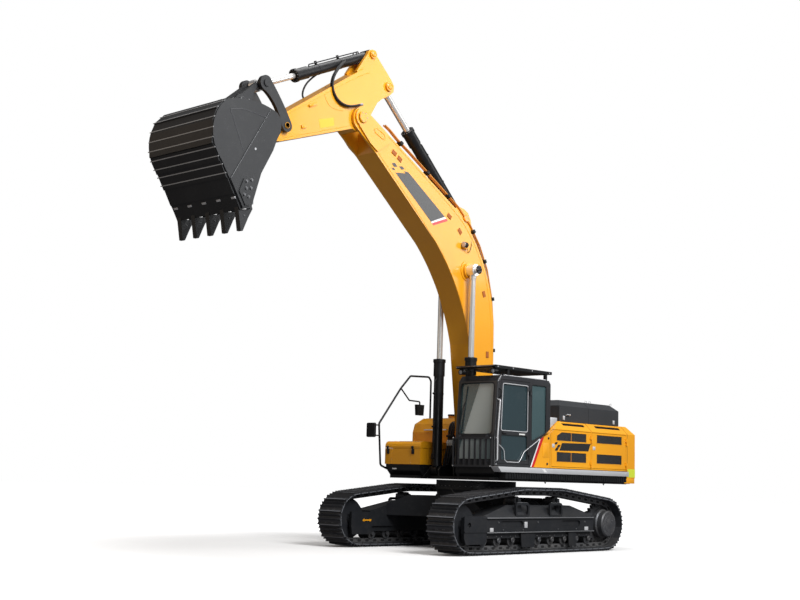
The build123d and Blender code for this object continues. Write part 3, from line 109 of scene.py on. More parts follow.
# ------------------------------------------------------------------------------------- node trees
class Tree:
    """A node tree, with short ways to add and join nodes."""

    def __init__(self, tree: bpy.types.NodeTree) -> None:
        """Keeps the tree that the nodes go into."""
        self.tree = tree

    def add(self, kind: str, inputs: dict | None = None, **settings: object) -> Node:
        """Adds one node.

        Args:
            kind: the node's type name.
            inputs: socket name or number to a plain value or to the socket that feeds it.
            settings: the node's own properties.

        Returns:
            The new node.
        """
        node = self.tree.nodes.new(kind)
        for name, value in settings.items():
            setattr(node, name, value)
        for name, value in (inputs or {}).items():
            if isinstance(value, Socket):
                self.tree.links.new(value, node.inputs[name])
            else:
                node.inputs[name].default_value = value
        return node

    def math(self, operation: str, first: object, second: object = 0.0, clamp: bool = False) -> Socket:
        """Result of a math node; clamp holds it between 0 and 1."""
        return self.add("ShaderNodeMath", {0: first, 1: second}, operation=operation, use_clamp=clamp).outputs[0]

    def times(self, first: object, second: object, clamp: bool = False) -> Socket:
        """Product of two values."""
        return self.math("MULTIPLY", first, second, clamp)

    def spread(self, value: Socket, low: float, high: float, to_low: float = 0.0, to_high: float = 1.0) -> Socket:
        """Maps a value smoothly from between low and high to between to_low and to_high."""
        names = {"Value": value, "From Min": low, "From Max": high, "To Min": to_low, "To Max": to_high}
        return self.add("ShaderNodeMapRange", names, interpolation_type="SMOOTHSTEP").outputs["Result"]

    def mix(self, share: object, first: object, second: object) -> Socket:
        """Mixed colour: the first one at share 0, the second at share 1."""
        return self.add("ShaderNodeMix", {0: share, 6: first, 7: second}, data_type="RGBA").outputs[2]

    def noise(self, place: Socket, scale: object, detail: float, roughness: float = 0.5) -> Socket:
        """Value of a noise texture."""
        inputs = {"Vector": place, "Scale": scale, "Detail": detail, "Roughness": roughness}
        return self.add("ShaderNodeTexNoise", inputs).outputs["Fac"]

    def place(self) -> Socket:
        """Object coordinates."""
        return self.add("ShaderNodeTexCoord").outputs["Object"]

    def group(self, name: str, **values: float) -> Node:
        """Adds one of the shared groups with its own values."""
        return self.add("ShaderNodeGroup", values, node_tree=GROUPS[name])


def fresh_tree(owner: Material | bpy.types.World) -> Tree:
    """Empties the node tree of a new material or world.

    Args:
        owner: the material or the world.

    Returns:
        Its tree.
    """
    owner.use_nodes = True
    owner.node_tree.nodes.clear()
    return Tree(owner.node_tree)


def new_group(name: str, inputs: dict[str, float], outputs: Iterable[str]) -> tuple[Tree, Node, Node]:
    """Starts a shader node group with float sockets.

    Args:
        name: the group's name.
        inputs: each input's name and its usual value.
        outputs: the outputs' names.

    Returns:
        The group's tree, its input node and its output node.
    """
    group = bpy.data.node_groups.new(name, "ShaderNodeTree")
    for label, value in inputs.items():
        group.interface.new_socket(label, in_out="INPUT", socket_type="NodeSocketFloat").default_value = value
    for label in outputs:
        group.interface.new_socket(label, in_out="OUTPUT", socket_type="NodeSocketFloat")
    tree = Tree(group)
    return tree, tree.add("NodeGroupInput"), tree.add("NodeGroupOutput")


def build_wear_group() -> bpy.types.NodeTree:
    """Wear: a mask of fine scratches that gather in patches."""
    tree, given, result = new_group("edge_wear", {"Amount": 0.4, "Scale": 9.0}, ["Mask"])
    place = tree.place()
    patches = tree.spread(tree.noise(place, given.outputs["Scale"], 6.0), 0.46, 0.7)
    scratches = tree.spread(tree.noise(place, 55.0, 9.0, 0.75), 0.48, 0.66)
    mask = tree.times(tree.times(patches, scratches), given.outputs["Amount"], clamp=True)
    tree.tree.links.new(mask, result.inputs["Mask"])
    return tree.tree


def build_dust_group() -> bpy.types.NodeTree:
    """Dust: a mask that is strongest near the ground and on faces that look up."""
    tree, given, result = new_group("dust", {"Height": 1.2, "Amount": 0.5}, ["Mask"])
    place = tree.place()
    height = tree.add("ShaderNodeSeparateXYZ", {0: place}).outputs["Z"]
    near = tree.math("SUBTRACT", 1.0, tree.math("DIVIDE", height, given.outputs["Height"]), clamp=True)
    normal = tree.add("ShaderNodeNewGeometry").outputs["Normal"]
    upward = tree.add("ShaderNodeSeparateXYZ", {0: normal}).outputs["Z"]
    lying = tree.times(tree.spread(upward, 0.2, 0.9), 0.45)
    patches = tree.spread(tree.noise(place, 3.5, 8.0, 0.65), 0.35, 0.72)
    both = tree.math("ADD", tree.times(near, 0.8), lying, clamp=True)
    mask = tree.times(tree.times(both, patches), given.outputs["Amount"], clamp=True)
    tree.tree.links.new(mask, result.inputs["Mask"])
    return tree.tree


def build_tone_group() -> bpy.types.NodeTree:
    """Tone: slow variation over a surface and a fine grain, each as a value."""
    tree, given, result = new_group("tone", {"Broad": 0.8, "Fine": 240.0}, ["Slow", "Grain"])
    place = tree.place()
    slow = tree.spread(tree.noise(place, given.outputs["Broad"], 3.0), 0.3, 0.7)
    tree.tree.links.new(slow, result.inputs["Slow"])
    tree.tree.links.new(tree.noise(place, given.outputs["Fine"], 2.0), result.inputs["Grain"])
    return tree.tree


GROUPS = {"wear": build_wear_group(), "dust": build_dust_group(), "tone": build_tone_group()}
DUST_COLOUR = (0.3, 0.25, 0.19, 1.0)
# painted reflection: colour of the slanting light band on the front window
PAINTED_REFLECTION_COLOUR = (0.62, 0.68, 0.66, 1.0)
COAT_ROUGHNESS = 0.08
GRAIN_DEPTH = 0.002
GRAIN_RANGE = (0.3, 0.7)
ROUGHNESS_RANGE = (0.85, 1.15)
BARE_METAL, DUST_DULLING = 0.7, 0.5


@dataclass(frozen=True)
class Finish:
    """A painted, cast or moulded surface with slow tone, grain, edge wear and dust."""

    name: str
    colour: Colour
    shade: Colour
    roughness: float = 0.4
    metallic: float = 0.0
    coat: float = 0.0
    grain: float = 240.0
    bump: float = 0.05
    wear: float = 0.0
    wear_colour: Colour = (0.42, 0.42, 0.43)
    wear_scale: float = 9.0
    dust: float = 0.0
    dust_height: float = 1.2
    shine: float = 0.5

    def build(self) -> Material:
        """Makes the material from the shared groups."""
        material = bpy.data.materials.new(self.name)
        tree = fresh_tree(material)
        tone = tree.group("tone", Fine=self.grain).outputs
        colour = tree.mix(tone["Slow"], (*self.shade, 1.0), (*self.colour, 1.0))
        rough = tree.spread(tone["Grain"], *GRAIN_RANGE, *(self.roughness * share for share in ROUGHNESS_RANGE))
        metallic: object = self.metallic
        if self.wear:
            worn = tree.group("wear", Amount=self.wear, Scale=self.wear_scale).outputs["Mask"]
            colour = tree.mix(worn, colour, (*self.wear_colour, 1.0))
            metallic = tree.math("ADD", tree.times(worn, BARE_METAL), self.metallic, clamp=True)
        if self.dust:
            dusty = tree.group("dust", Amount=self.dust, Height=self.dust_height).outputs["Mask"]
            colour = tree.mix(dusty, colour, DUST_COLOUR)
            rough = tree.math("ADD", rough, tree.times(dusty, DUST_DULLING), clamp=True)
        bump = tree.add("ShaderNodeBump", {"Height": tone["Grain"], "Strength": self.bump, "Distance": GRAIN_DEPTH})
        shader = tree.add("ShaderNodeBsdfPrincipled", {
            "Base Color": colour, "Roughness": rough, "Metallic": metallic, "Normal": bump.outputs["Normal"],
            "Specular IOR Level": self.shine, "Coat Weight": self.coat, "Coat Roughness": COAT_ROUGHNESS})
        tree.add("ShaderNodeOutputMaterial", {"Surface": shader.outputs[0]})
        return material


@dataclass(frozen=True)
class Pane:
    """Tinted glass that shows what is behind it, with a painted reflection on a front window: a slanting light band."""

    name: str
    tint: Colour
    density: float = 0.35
    # band is the strength of the painted reflection band; slope and front place it
    band: float = 0.0
    slope: float = 0.331
    front: float = 1.0

    def build(self) -> Material:
        """Makes the material: a coated tint over clear glass, thin enough to need no refraction."""
        material = bpy.data.materials.new(self.name)
        tree = fresh_tree(material)
        slow = tree.group("tone").outputs["Slow"]
        colour = tree.mix(slow, tuple(0.9 * c for c in self.tint) + (1.0,), (*self.tint, 1.0))
        # painted reflection: a lighter slanting band mixed into the glass colour, only ahead of the cab's front
        if self.band:
            axes = tree.add("ShaderNodeSeparateXYZ", {0: tree.place()}).outputs
            slant = tree.math("SUBTRACT", axes["Y"], tree.times(axes["Z"], self.slope))
            light = tree.times(tree.spread(slant, 0.0, 0.03), tree.spread(slant, 0.1, 0.75, 1.0, 0.25))
            ahead = tree.spread(axes["X"], SWING_X + self.front, SWING_X + self.front + 0.1)
            colour = tree.mix(tree.times(tree.times(light, ahead), self.band), colour, PAINTED_REFLECTION_COLOUR)
        shader = tree.add("ShaderNodeBsdfPrincipled", {
            "Base Color": colour, "Roughness": 0.03, "Alpha": self.density, "Coat Weight": 1.0,
            "Coat Roughness": 0.02})
        tree.add("ShaderNodeOutputMaterial", {"Surface": shader.outputs[0]})
        return material


FINISHES = {finish.name: finish.build() for finish in (
    Finish("yellow_paint", (0.88, 0.385, 0.01), (0.84, 0.35, 0.008), 0.32, coat=0.45, bump=0.02, dust=0.03,
           dust_height=2.2),
    Finish("amber_pipe", (0.62, 0.24, 0.03), (0.52, 0.19, 0.025), 0.38, coat=0.3, bump=0.03),
    Finish("black_paint", (0.0085, 0.009, 0.0105), (0.006, 0.0065, 0.0075), 0.42, coat=0.08, bump=0.05, wear=0.06,
           dust=0.05, dust_height=1.3, shine=0.25),
    Finish("charcoal_paint", (0.036, 0.037, 0.041), (0.027, 0.028, 0.032), 0.34, metallic=0.25, coat=0.35, bump=0.03),
    Finish("bucket_paint", (0.037, 0.0385, 0.041), (0.029, 0.03, 0.0325), 0.42, metallic=0.1, bump=0.08, wear=0.18,
           wear_colour=(0.2, 0.2, 0.205), grain=160.0, shine=0.3),
    Finish("track_steel", (0.048, 0.051, 0.058), (0.034, 0.037, 0.043), 0.42, metallic=0.35, bump=0.25, wear=0.3,
           wear_colour=(0.34, 0.34, 0.36), wear_scale=14.0, grain=130.0, dust=0.1, dust_height=0.9),
    Finish("edge_light", (0.5, 0.51, 0.52), (0.4, 0.41, 0.42), 0.45, bump=0.05),
    Finish("edge_dark", (0.11, 0.113, 0.12), (0.08, 0.083, 0.09), 0.45, metallic=0.2, bump=0.05),
    Finish("edge_steel", (0.24, 0.25, 0.27), (0.17, 0.18, 0.2), 0.45, metallic=0.2, bump=0.08),
    Finish("cast_steel", (0.075, 0.078, 0.085), (0.052, 0.055, 0.062), 0.46, metallic=0.5, bump=0.25, wear=0.5,
           grain=140.0, dust=0.2),
    Finish("silver_paint", (0.74, 0.75, 0.77), (0.66, 0.67, 0.69), 0.38, metallic=0.4, bump=0.04, wear=0.2,
           dust=0.15, dust_height=2.0),
    Finish("chrome", (0.9, 0.89, 0.87), (0.84, 0.83, 0.82), 0.22, metallic=0.65, bump=0.01, grain=420.0),
    Finish("rubber", (0.014, 0.014, 0.015), (0.01, 0.01, 0.011), 0.62, bump=0.2, grain=320.0),
    Finish("seat_cloth", (0.035, 0.036, 0.04), (0.022, 0.023, 0.026), 0.85, bump=0.6, grain=520.0),
    Finish("console_plastic", (0.055, 0.056, 0.06), (0.045, 0.046, 0.05), 0.55, bump=0.3, grain=620.0),
    Finish("white_fitting", (0.78, 0.78, 0.76), (0.7, 0.7, 0.68), 0.4, bump=0.05),
    Finish("red_paint", (0.62, 0.012, 0.014), (0.55, 0.01, 0.012), 0.33, coat=0.4, bump=0.02),
    Finish("white_paint", (0.85, 0.85, 0.85), (0.78, 0.78, 0.78), 0.33, coat=0.4, bump=0.02),
    Finish("clamp_rubber", (0.42, 0.115, 0.016), (0.35, 0.095, 0.014), 0.6, bump=0.15),
    Finish("lime_sign", (0.7, 0.8, 0.06), (0.62, 0.72, 0.05), 0.4, bump=0.02),
    Finish("cover_paint", (0.036, 0.038, 0.042), (0.029, 0.031, 0.034), 0.45, bump=0.04, shine=0.4),
    # painted light: a lighter copy of the black paint for the car body, ring, track frames and idlers, which face the
    # light
    Finish("frame_paint", (0.015, 0.0165, 0.02), (0.011, 0.0125, 0.015), 0.46, bump=0.06, wear=0.06, dust=0.05,
           dust_height=1.0, shine=0.3),
    Finish("sign_yellow", (0.8, 0.52, 0.03), (0.74, 0.48, 0.03), 0.4, bump=0.02),
    Finish("pale_grey", (0.5, 0.51, 0.53), (0.44, 0.45, 0.47), 0.35, coat=0.3, bump=0.02),
    Finish("worn_steel", (0.42, 0.43, 0.45), (0.32, 0.33, 0.34), 0.4, metallic=0.7, bump=0.08, dust=0.1),
    Finish("link_steel", (0.165, 0.168, 0.175), (0.12, 0.123, 0.13), 0.42, metallic=0.6, bump=0.15, wear=0.4,
           wear_colour=(0.3, 0.3, 0.31), grain=150.0, dust=0.2, dust_height=0.9),
    # dark_gap: dark joints between parts, and painted shade in link windows, shoe holes and behind grilles and vents
    Finish("dark_gap", (0.006, 0.006, 0.007), (0.004, 0.004, 0.005), 0.8, bump=0.02),
    Finish("louvre_black", (0.035, 0.036, 0.039), (0.024, 0.025, 0.027), 0.38, metallic=0.3, bump=0.05),
    Finish("blank_plate", (0.02, 0.021, 0.023), (0.016, 0.017, 0.018), 0.3, coat=0.3, bump=0.02),
    # the cab glass carries the painted reflection band
    Pane("cab_glass", (0.07, 0.125, 0.135), 0.72, 0.75),
    Pane("door_glass", (0.03, 0.055, 0.065), 0.8),
    Pane("lamp_lens", (0.75, 0.78, 0.8), 0.55),
)}

NODE_FINISH = {
    "yellow_paint": ["counterweight", "hood_shell", "hood_door_left_front", "hood_door_left_rear", "hood_door_right",
                     "fuel_tank", "toolbox", "toolbox_lid", "boom", "arm"],
    "cover_paint": ["engine_cover"],
    # car body, ring, track frames and idlers get the lighter, lit copy of the black paint
    "frame_paint": ["car_body", "slew_ring", "track_frame_left", "track_frame_right", "idler_left", "idler_right"],
    "black_paint": ["deck", "catwalk_left", "catwalk_right", "roof_guard", "handrail", "mirrors",
                    "boom_cylinder_barrels", "arm_cylinder_barrel", "bucket_cylinder_barrel"],
    "charcoal_paint": ["cab_frame", "cab_door", "front_guard"],
    "bucket_paint": ["bucket", "bucket_teeth", "side_links", "power_link"],
    "track_steel": ["track_left", "track_right"],
    "cast_steel": ["sprocket_left", "sprocket_right", "rollers_left", "rollers_right", "engine_block"],
    "chrome": ["boom_cylinder_rods", "arm_cylinder_rod", "bucket_cylinder_rod"],
    "cab_glass": ["cab_glass"],
    "door_glass": ["door_glass"],
    "seat_cloth": ["operator_seat"],
    "console_plastic": ["operator_consoles"],
}


def dress_nodes() -> None:
    """Gives every CAD node its finish."""
    for finish, names in NODE_FINISH.items():
        for name in names:
            node = frame["nodes"][name]
            node.data.materials.clear()
            node.data.materials.append(FINISHES[finish])
    bare = set(frame["nodes"]) - {name for names in NODE_FINISH.values() for name in names}
    log.info("nodes without a finish: %s", sorted(bare))


# ------------------------------------------------------------------------------------------ studio
@dataclass(frozen=True)
class Lamp:
    """One square soft lamp; place and target are measured from the swing axis, power is in watts."""

    name: str
    place: Point
    target: Point
    size: float
    power: float
    colour: Colour = (1.0, 1.0, 1.0)

    def hang(self) -> None:
        """Adds the lamp and points it at its target."""
        data = bpy.data.lights.new(self.name, "AREA")
        data.size = self.size
        data.energy = self.power
        data.color = self.colour
        lamp = bpy.data.objects.new(self.name, data)
        bpy.context.scene.collection.objects.link(lamp)
        turn = (at(*self.target) - at(*self.place)).to_track_quat("-Z", "Y").to_matrix().to_4x4()
        lamp.matrix_world = Matrix.Translation(at(*self.place)) @ turn


LAMPS = (
    Lamp("key", (4.0, 16.0, 15.0), (1.0, 0.5, 3.0), 9.0, 4600.0),
    Lamp("front_fill", (16.0, -6.0, 9.0), (2.0, 0.0, 3.5), 10.0, 190.0, (1.0, 0.74, 0.5)),
    Lamp("low_fill", (14.0, 15.0, 2.6), (0.0, 0.0, 0.8), 3.0, 260.0),
    Lamp("top", (1.0, 0.0, 20.0), (1.0, 0.0, 2.0), 10.0, 1500.0),
    Lamp("sheen", (-15.0, 15.0, 13.5), (0.5, 0.2, 5.0), 10.0, 1050.0),
)


@dataclass
class Studio:
    """Floor, lamps, world and camera."""

    camera_place: Point = (19.708, 15.839, 1.319)
    heading: float = 132.43
    rise: float = 8.0
    roll: float = 1.66
    lens: float = 56.94
    sensor: float = 36.0
    view_end: float = 400.0
    floor_half: float = 90.0
    floor_z: float = -0.002
    floor_seen: Colour = (0.86, 0.86, 0.86)
    floor_lit: Colour = (0.16, 0.16, 0.17)
    glow_start: float = 3.8
    glow_full: float = 10.5
    floor_near: float = 0.02
    floor_far: float = 1.0
    sky: float = 0.15

    def camera(self) -> None:
        """Places the camera low ahead of the machine's left front corner."""
        data = bpy.data.cameras.new("camera")
        data.lens = self.lens
        data.sensor_width = self.sensor
        data.clip_end = self.view_end
        camera = bpy.data.objects.new("camera", data)
        bpy.context.scene.collection.objects.link(camera)
        place = Matrix.Translation(at(*self.camera_place))
        for angle, axis in ((self.heading, "Z"), (90 + self.rise, "X"), (self.roll, "Z")):
            place = place @ Matrix.Rotation(math.radians(angle), 4, axis)
        camera.matrix_world = place
        bpy.context.scene.camera = camera

    def seen(self, tree: Tree) -> tuple[Socket, Socket]:
        """Whether the camera sees a place directly, and whether it does so directly or through glass."""
        path = tree.add("ShaderNodeLightPath").outputs
        return path["Is Camera Ray"], tree.math("MAXIMUM", path["Is Camera Ray"], path["Is Transmission Ray"])

    def floor(self) -> None:
        """Lays a pale floor that glows white away from the machine and keeps the machine's shadow."""
        deselect()
        bpy.ops.mesh.primitive_circle_add(vertices=96, radius=self.floor_half, fill_type="NGON",
                                          location=(0, 0, self.floor_z))
        ground = bpy.context.object
        ground.name = "floor"
        material = bpy.data.materials.new("floor")
        tree = fresh_tree(material)
        direct, seen = self.seen(tree)
        tone = tree.mix(direct, (*self.floor_lit, 1.0), (*self.floor_seen, 1.0))
        matt = tree.add("ShaderNodeBsdfDiffuse", {"Color": tone})
        reach = tree.add("ShaderNodeVectorMath", {0: tree.place()}, operation="LENGTH").outputs["Value"]
        glow = tree.spread(reach, self.glow_start, self.glow_full, self.floor_near, self.floor_far)
        light = tree.add("ShaderNodeEmission", {"Strength": tree.times(seen, glow)})
        both = tree.add("ShaderNodeAddShader", {0: matt.outputs[0], 1: light.outputs[0]})
        tree.add("ShaderNodeOutputMaterial", {"Surface": both.outputs[0]})
        ground.data.materials.append(material)

    def world(self) -> None:
        """A surround that is white to the camera, also through glass, and dim as light on the machine."""
        world = bpy.data.worlds.new("studio")
        bpy.context.scene.world = world
        tree = fresh_tree(world)
        strength = tree.spread(self.seen(tree)[1], 0.0, 1.0, self.sky, 1.0)
        light = tree.add("ShaderNodeBackground", {"Color": (1.0, 1.0, 1.0, 1.0), "Strength": strength})
        tree.add("ShaderNodeOutputWorld", {"Surface": light.outputs[0]})

    def build(self) -> None:
        """Makes the whole studio."""
        self.camera()
        self.floor()
        self.world()
        for lamp in LAMPS:
            lamp.hang()
        bpy.context.scene.view_settings.view_transform = "Standard"


# --------------------------------------------------------------------------------------- workshop
def deselect() -> None:
    """Leaves edit mode and deselects everything."""
    if bpy.context.mode != "OBJECT":
        bpy.ops.object.mode_set(mode="OBJECT")
    bpy.ops.object.select_all(action="DESELECT")


def pick(piece: Piece) -> None:
    """Selects one piece alone and makes it the active one."""
    deselect()
    piece.select_set(True)
    bpy.context.view_layer.objects.active = piece


def on_side(points: Iterable[Point], y: float) -> list[Vector]:
    """Places of side view points (x, z) at one y."""
    return [at(x, y, z) for x, z in points]


def on_front(points: Iterable[Point], x: float) -> list[Vector]:
    """Places of front view points (y, z) at one x."""
    return [at(x, y, z) for y, z in points]


def rectangle(low: Point, high: Point) -> list[tuple[float, float]]:
    """Corners of a rectangle between its lowest and its highest corner."""
    return [(low[0], low[1]), (high[0], low[1]), (high[0], high[1]), (low[0], high[1])]


def circle(middle: Point, radius: float, count: int, phase: float = 0.0) -> list[tuple[float, float]]:
    """Points spaced evenly round a circle, the first one phase steps on."""
    angles = [2 * math.pi * (number + phase) / count for number in range(count)]
    return [(middle[0] + radius * math.cos(angle), middle[1] + radius * math.sin(angle)) for angle in angles]


def eased(points: Points, radius: float, steps: int = 4) -> list[tuple[float, float]]:
    """Rounds a flat outline's corners.

    Args:
        points: the outline's corners in order.
        radius: how far each rounding reaches along its two edges.
        steps: pieces in each rounding.

    Returns:
        The rounded outline's points.
    """
    result = []
    for index, corner in enumerate(points):
        before, after = Vector(points[index - 1]), Vector(points[(index + 1) % len(points)])
        here = Vector(corner)
        start = here + (before - here).normalized() * min(radius, (before - here).length * CORNER_SHARE)
        end = here + (after - here).normalized() * min(radius, (after - here).length * CORNER_SHARE)
        for step in range(steps + 1):
            share = step / steps
            point = start * (1 - share) ** 2 + here * 2 * share * (1 - share) + end * share ** 2
            result.append((point.x, point.y))
    return result


def chain(points: Sequence[Vector]) -> Piece:
    """Starts a piece as a chain of vertices and stays in edit mode with all of them selected.

    Args:
        points: the vertices' places in order.

    Returns:
        The piece.
    """
    deselect()
    bpy.ops.mesh.primitive_plane_add(size=0.001, location=points[0])
    bpy.ops.object.transform_apply(location=True, rotation=True, scale=True)
    bpy.ops.object.mode_set(mode="EDIT")
    bpy.ops.mesh.select_all(action="SELECT")
    bpy.ops.mesh.merge(type="CENTER")
    for near, far in zip(points, points[1:]):
        bpy.ops.mesh.extrude_region_move(TRANSFORM_OT_translate={"value": far - near})
    bpy.ops.mesh.select_all(action="SELECT")
    return bpy.context.object


def close_up(piece: Piece) -> Piece:
    """Merges doubles, turns all faces outwards and leaves edit mode."""
    bpy.ops.mesh.select_all(action="SELECT")
    bpy.ops.mesh.remove_doubles(threshold=MERGE_DISTANCE)
    bpy.ops.mesh.normals_make_consistent(inside=False)
    bpy.ops.object.mode_set(mode="OBJECT")
    return piece


def closed(piece: Piece) -> Piece:
    """Closes up a piece that was left in object mode."""
    pick(piece)
    bpy.ops.object.mode_set(mode="EDIT")
    return close_up(piece)


def slab(points: Sequence[Vector], thickness: Point) -> Piece:
    """Flat plate from an outline.

    Args:
        points: the outline's corners in order.
        thickness: from one face to the other.

    Returns:
        The closed plate.
    """
    piece = chain(points)
    bpy.ops.mesh.edge_face_add()
    bpy.ops.mesh.extrude_region_move(TRANSFORM_OT_translate={"value": thickness})
    return close_up(piece)


def side_slab(points: Iterable[Point], y: float, depth: float) -> Piece:
    """Plate from a side view outline (x, z), from y on by depth."""
    return slab(on_side(points, y), (0, depth, 0))


def chip(points: Iterable[Point], low: float, thickness: float) -> Piece:
    """Flat plate round the frame's origin, from a plan view outline (x, y) and its lower face."""
    return slab([Vector((x, y, low)) for x, y in points], (0, 0, thickness))


def ring(points: Sequence[Vector], width: float, thickness: Point) -> Piece:
    """Flat frame of even width along an outline.

    Args:
        points: the frame's outer corners in order.
        width: from the outer edge to the opening.
        thickness: from one face to the other.

    Returns:
        The closed frame.
    """
    piece = chain(points)
    bpy.ops.mesh.edge_face_add()
    bpy.ops.mesh.inset(thickness=width, depth=0.0, use_even_offset=True)
    bpy.ops.mesh.delete(type="FACE")
    bpy.ops.mesh.select_all(action="SELECT")
    bpy.ops.mesh.extrude_region_move(TRANSFORM_OT_translate={"value": thickness})
    return close_up(piece)


def turned(place: Vector, axis: Vector, profile: Points, steps: int = 32) -> Piece:
    """Turned piece: a profile spun round an axis.

    Args:
        place: where the axis starts.
        axis: its direction.
        profile: (distance along the axis, radius) of each point.
        steps: faces round the axis.

    Returns:
        The closed turned piece.
    """
    run = axis.normalized()
    out = run.orthogonal().normalized()
    piece = chain([place + run * step + out * radius for step, radius in profile])
    bpy.ops.mesh.spin(steps=steps, angle=2 * math.pi, center=place, axis=run)
    return close_up(piece)


def ease(piece: Piece, width: float, segments: int = 2) -> Piece:
    """Rounds a piece's sharp edges with an applied bevel.

    Args:
        piece: the piece.
        width: width of the rounded edges.
        segments: faces across each of them.

    Returns:
        The same piece.
    """
    pick(piece)
    bevel = piece.modifiers.new("edge", "BEVEL")
    bevel.width = width
    bevel.segments = segments
    bevel.limit_method = "ANGLE"
    bevel.angle_limit = BEVEL_ANGLE
    bpy.ops.object.transform_apply(location=True, rotation=True, scale=True)
    bpy.ops.object.modifier_apply(modifier="edge")
    return piece


def block(x: Point, y: Point, z: Point, edge: float = 0.0, segments: int = 2) -> Piece:
    """Block between two limits along each axis, measured from the swing axis.

    Args:
        x: its limits along X.
        y: its limits along Y.
        z: its limits along Z.
        edge: width of its rounded edges, or 0 for none.
        segments: faces across each rounded edge.

    Returns:
        The block.
    """
    deselect()
    middle = at((x[0] + x[1]) / 2, (y[0] + y[1]) / 2, (z[0] + z[1]) / 2)
    bpy.ops.mesh.primitive_cube_add(size=1.0, location=middle, scale=(x[1] - x[0], y[1] - y[0], z[1] - z[0]))
    bpy.ops.object.transform_apply(location=True, rotation=True, scale=True)
    piece = bpy.context.object
    return ease(piece, edge, segments) if edge else piece


def moved_block(place: Matrix, x: Point, y: Point, z: Point, edge: float, segments: int = 2) -> Piece:
    """Rounded block modelled round the frame's origin and then moved.

    Args:
        place: where it goes, and how it turns.
        x: its limits along X, before the move.
        y: its limits along Y.
        z: its limits along Z.
        edge: width of its rounded edges.
        segments: faces across each rounded edge.

    Returns:
        The block.
    """
    piece = block(x, y, z, edge, segments)
    piece.data.transform(place @ Matrix.Translation((-SWING_X, 0, 0)))
    return piece


def tube(points: Sequence[Vector], radius: float, sides: int = 5) -> Piece:
    """Round tube or hose that runs smoothly past its inner points.

    Args:
        points: the line's points.
        radius: the tube's radius.
        sides: resolution of the section.

    Returns:
        The tube as a mesh with closed ends.
    """
    deselect()
    data = bpy.data.curves.new("tube", "CURVE")
    data.dimensions = "3D"
    data.bevel_depth = radius
    data.bevel_resolution = sides
    data.use_fill_caps = True
    data.resolution_u = 8
    spline = data.splines.new("NURBS")
    spline.points.add(len(points) - 1)
    for target, point in zip(spline.points, points):
        target.co = (*point, 1.0)
    spline.order_u = 3
    spline.use_endpoint_u = True
    piece = bpy.data.objects.new("tube", data)
    bpy.context.scene.collection.objects.link(piece)
    pick(piece)
    bpy.ops.object.convert(target="MESH")
    return bpy.context.object


def bend(points: Sequence[Vector], radius: float) -> list[Vector]:
    """Adds points close to each inner corner, so that a pipe runs straight between short bends.

    Args:
        points: the pipe's corners.
        radius: how far each bend reaches from its corner.

    Returns:
        The longer list of points.
    """
    result = [points[0]]
    for before, here, after in zip(points, points[1:], points[2:]):
        for other in (before, after):
            reach = min(radius, (other - here).length * BEND_SHARE)
            result.append(here + (other - here).normalized() * reach)
            if other is before:
                result.append(here)
    return result + [points[-1]]


def hose(points: Points, radius: float) -> Piece:
    """Hose along places measured from the swing axis."""
    return tube([at(*point) for point in points], radius)


def pipe(points: Points, corner: float, radius: float) -> Piece:
    """Pipe with short bends along places measured from the swing axis."""
    return tube(bend([at(*point) for point in points], corner), radius)


def welds(routes: Iterable[Points], y: float, radius: float = 0.004) -> list[Piece]:
    """Weld seams along side view routes (x, z) at one y."""
    return [tube(on_side(route, y), radius, sides=2) for route in routes]


def join(pieces: Sequence[Piece]) -> Piece:
    """Joins several meshes into one.

    Args:
        pieces: the meshes.

    Returns:
        The joined piece.
    """
    deselect()
    for piece in pieces:
        piece.select_set(True)
    bpy.context.view_layer.objects.active = pieces[0]
    if len(pieces) > 1:
        bpy.ops.object.join()
    return bpy.context.object


def repeat(pattern: Piece, places: Iterable[Matrix]) -> Piece:
    """Copies a modelled pattern to every place and joins the copies.

    Args:
        pattern: the piece to copy, modelled at the frame's origin.
        places: one matrix for each copy.

    Returns:
        One piece that holds all the copies.
    """
    copies = []
    for place in places:
        copy = bpy.data.objects.new(pattern.name, pattern.data.copy())
        copy.data.transform(place)
        bpy.context.scene.collection.objects.link(copy)
        copies.append(copy)
    bpy.data.objects.remove(pattern)
    return join(copies)


def facing(place: Vector, direction: Vector, size: float = 1.0) -> Matrix:
    """Matrix that stands a pattern's Z axis along a direction at a place."""
    turn = direction.to_track_quat("Z", "Y").to_matrix().to_4x4()
    return Matrix.Translation(place) @ turn @ Matrix.Scale(size, 4)


def tilted(x: float, y: float, z: float, angle: float) -> Matrix:
    """Matrix to a place measured from the swing axis, with X tilted up by an angle in degrees."""
    return Matrix.Translation(at(x, y, z)) @ Matrix.Rotation(-math.radians(angle), 4, "Y")


def side_turn(run: Vector, out: Vector, across: float = 1.0) -> Matrix:
    """Matrix that lays a pattern's X and Z axes along two side view directions (x, z)."""
    return Matrix(((run[0], 0, out[0], 0), (0, across, 0, 0), (run[1], 0, out[1], 0), (0, 0, 0, 1)))


def bolt_pattern() -> Piece:
    """Hexagon bolt head on its washer, of unit radius, standing on the origin."""
    deselect()
    bpy.ops.mesh.primitive_cylinder_add(vertices=14, radius=1.0, depth=0.24, location=(0, 0, 0.12))
    washer = bpy.context.object
    bpy.ops.mesh.primitive_cylinder_add(vertices=6, radius=0.8, depth=0.6, location=(0, 0, 0.5))
    return join([washer, ease(bpy.context.object, 0.1, 1)])


def side_bolts(side: Side, points: Iterable[Point], face: float, size: float) -> list[BoltPlace]:
    """Bolt places at side view points (x, z) on a face so far from the middle plane."""
    return [(at(x, side.value * face, z), side.out, size) for x, z in points]


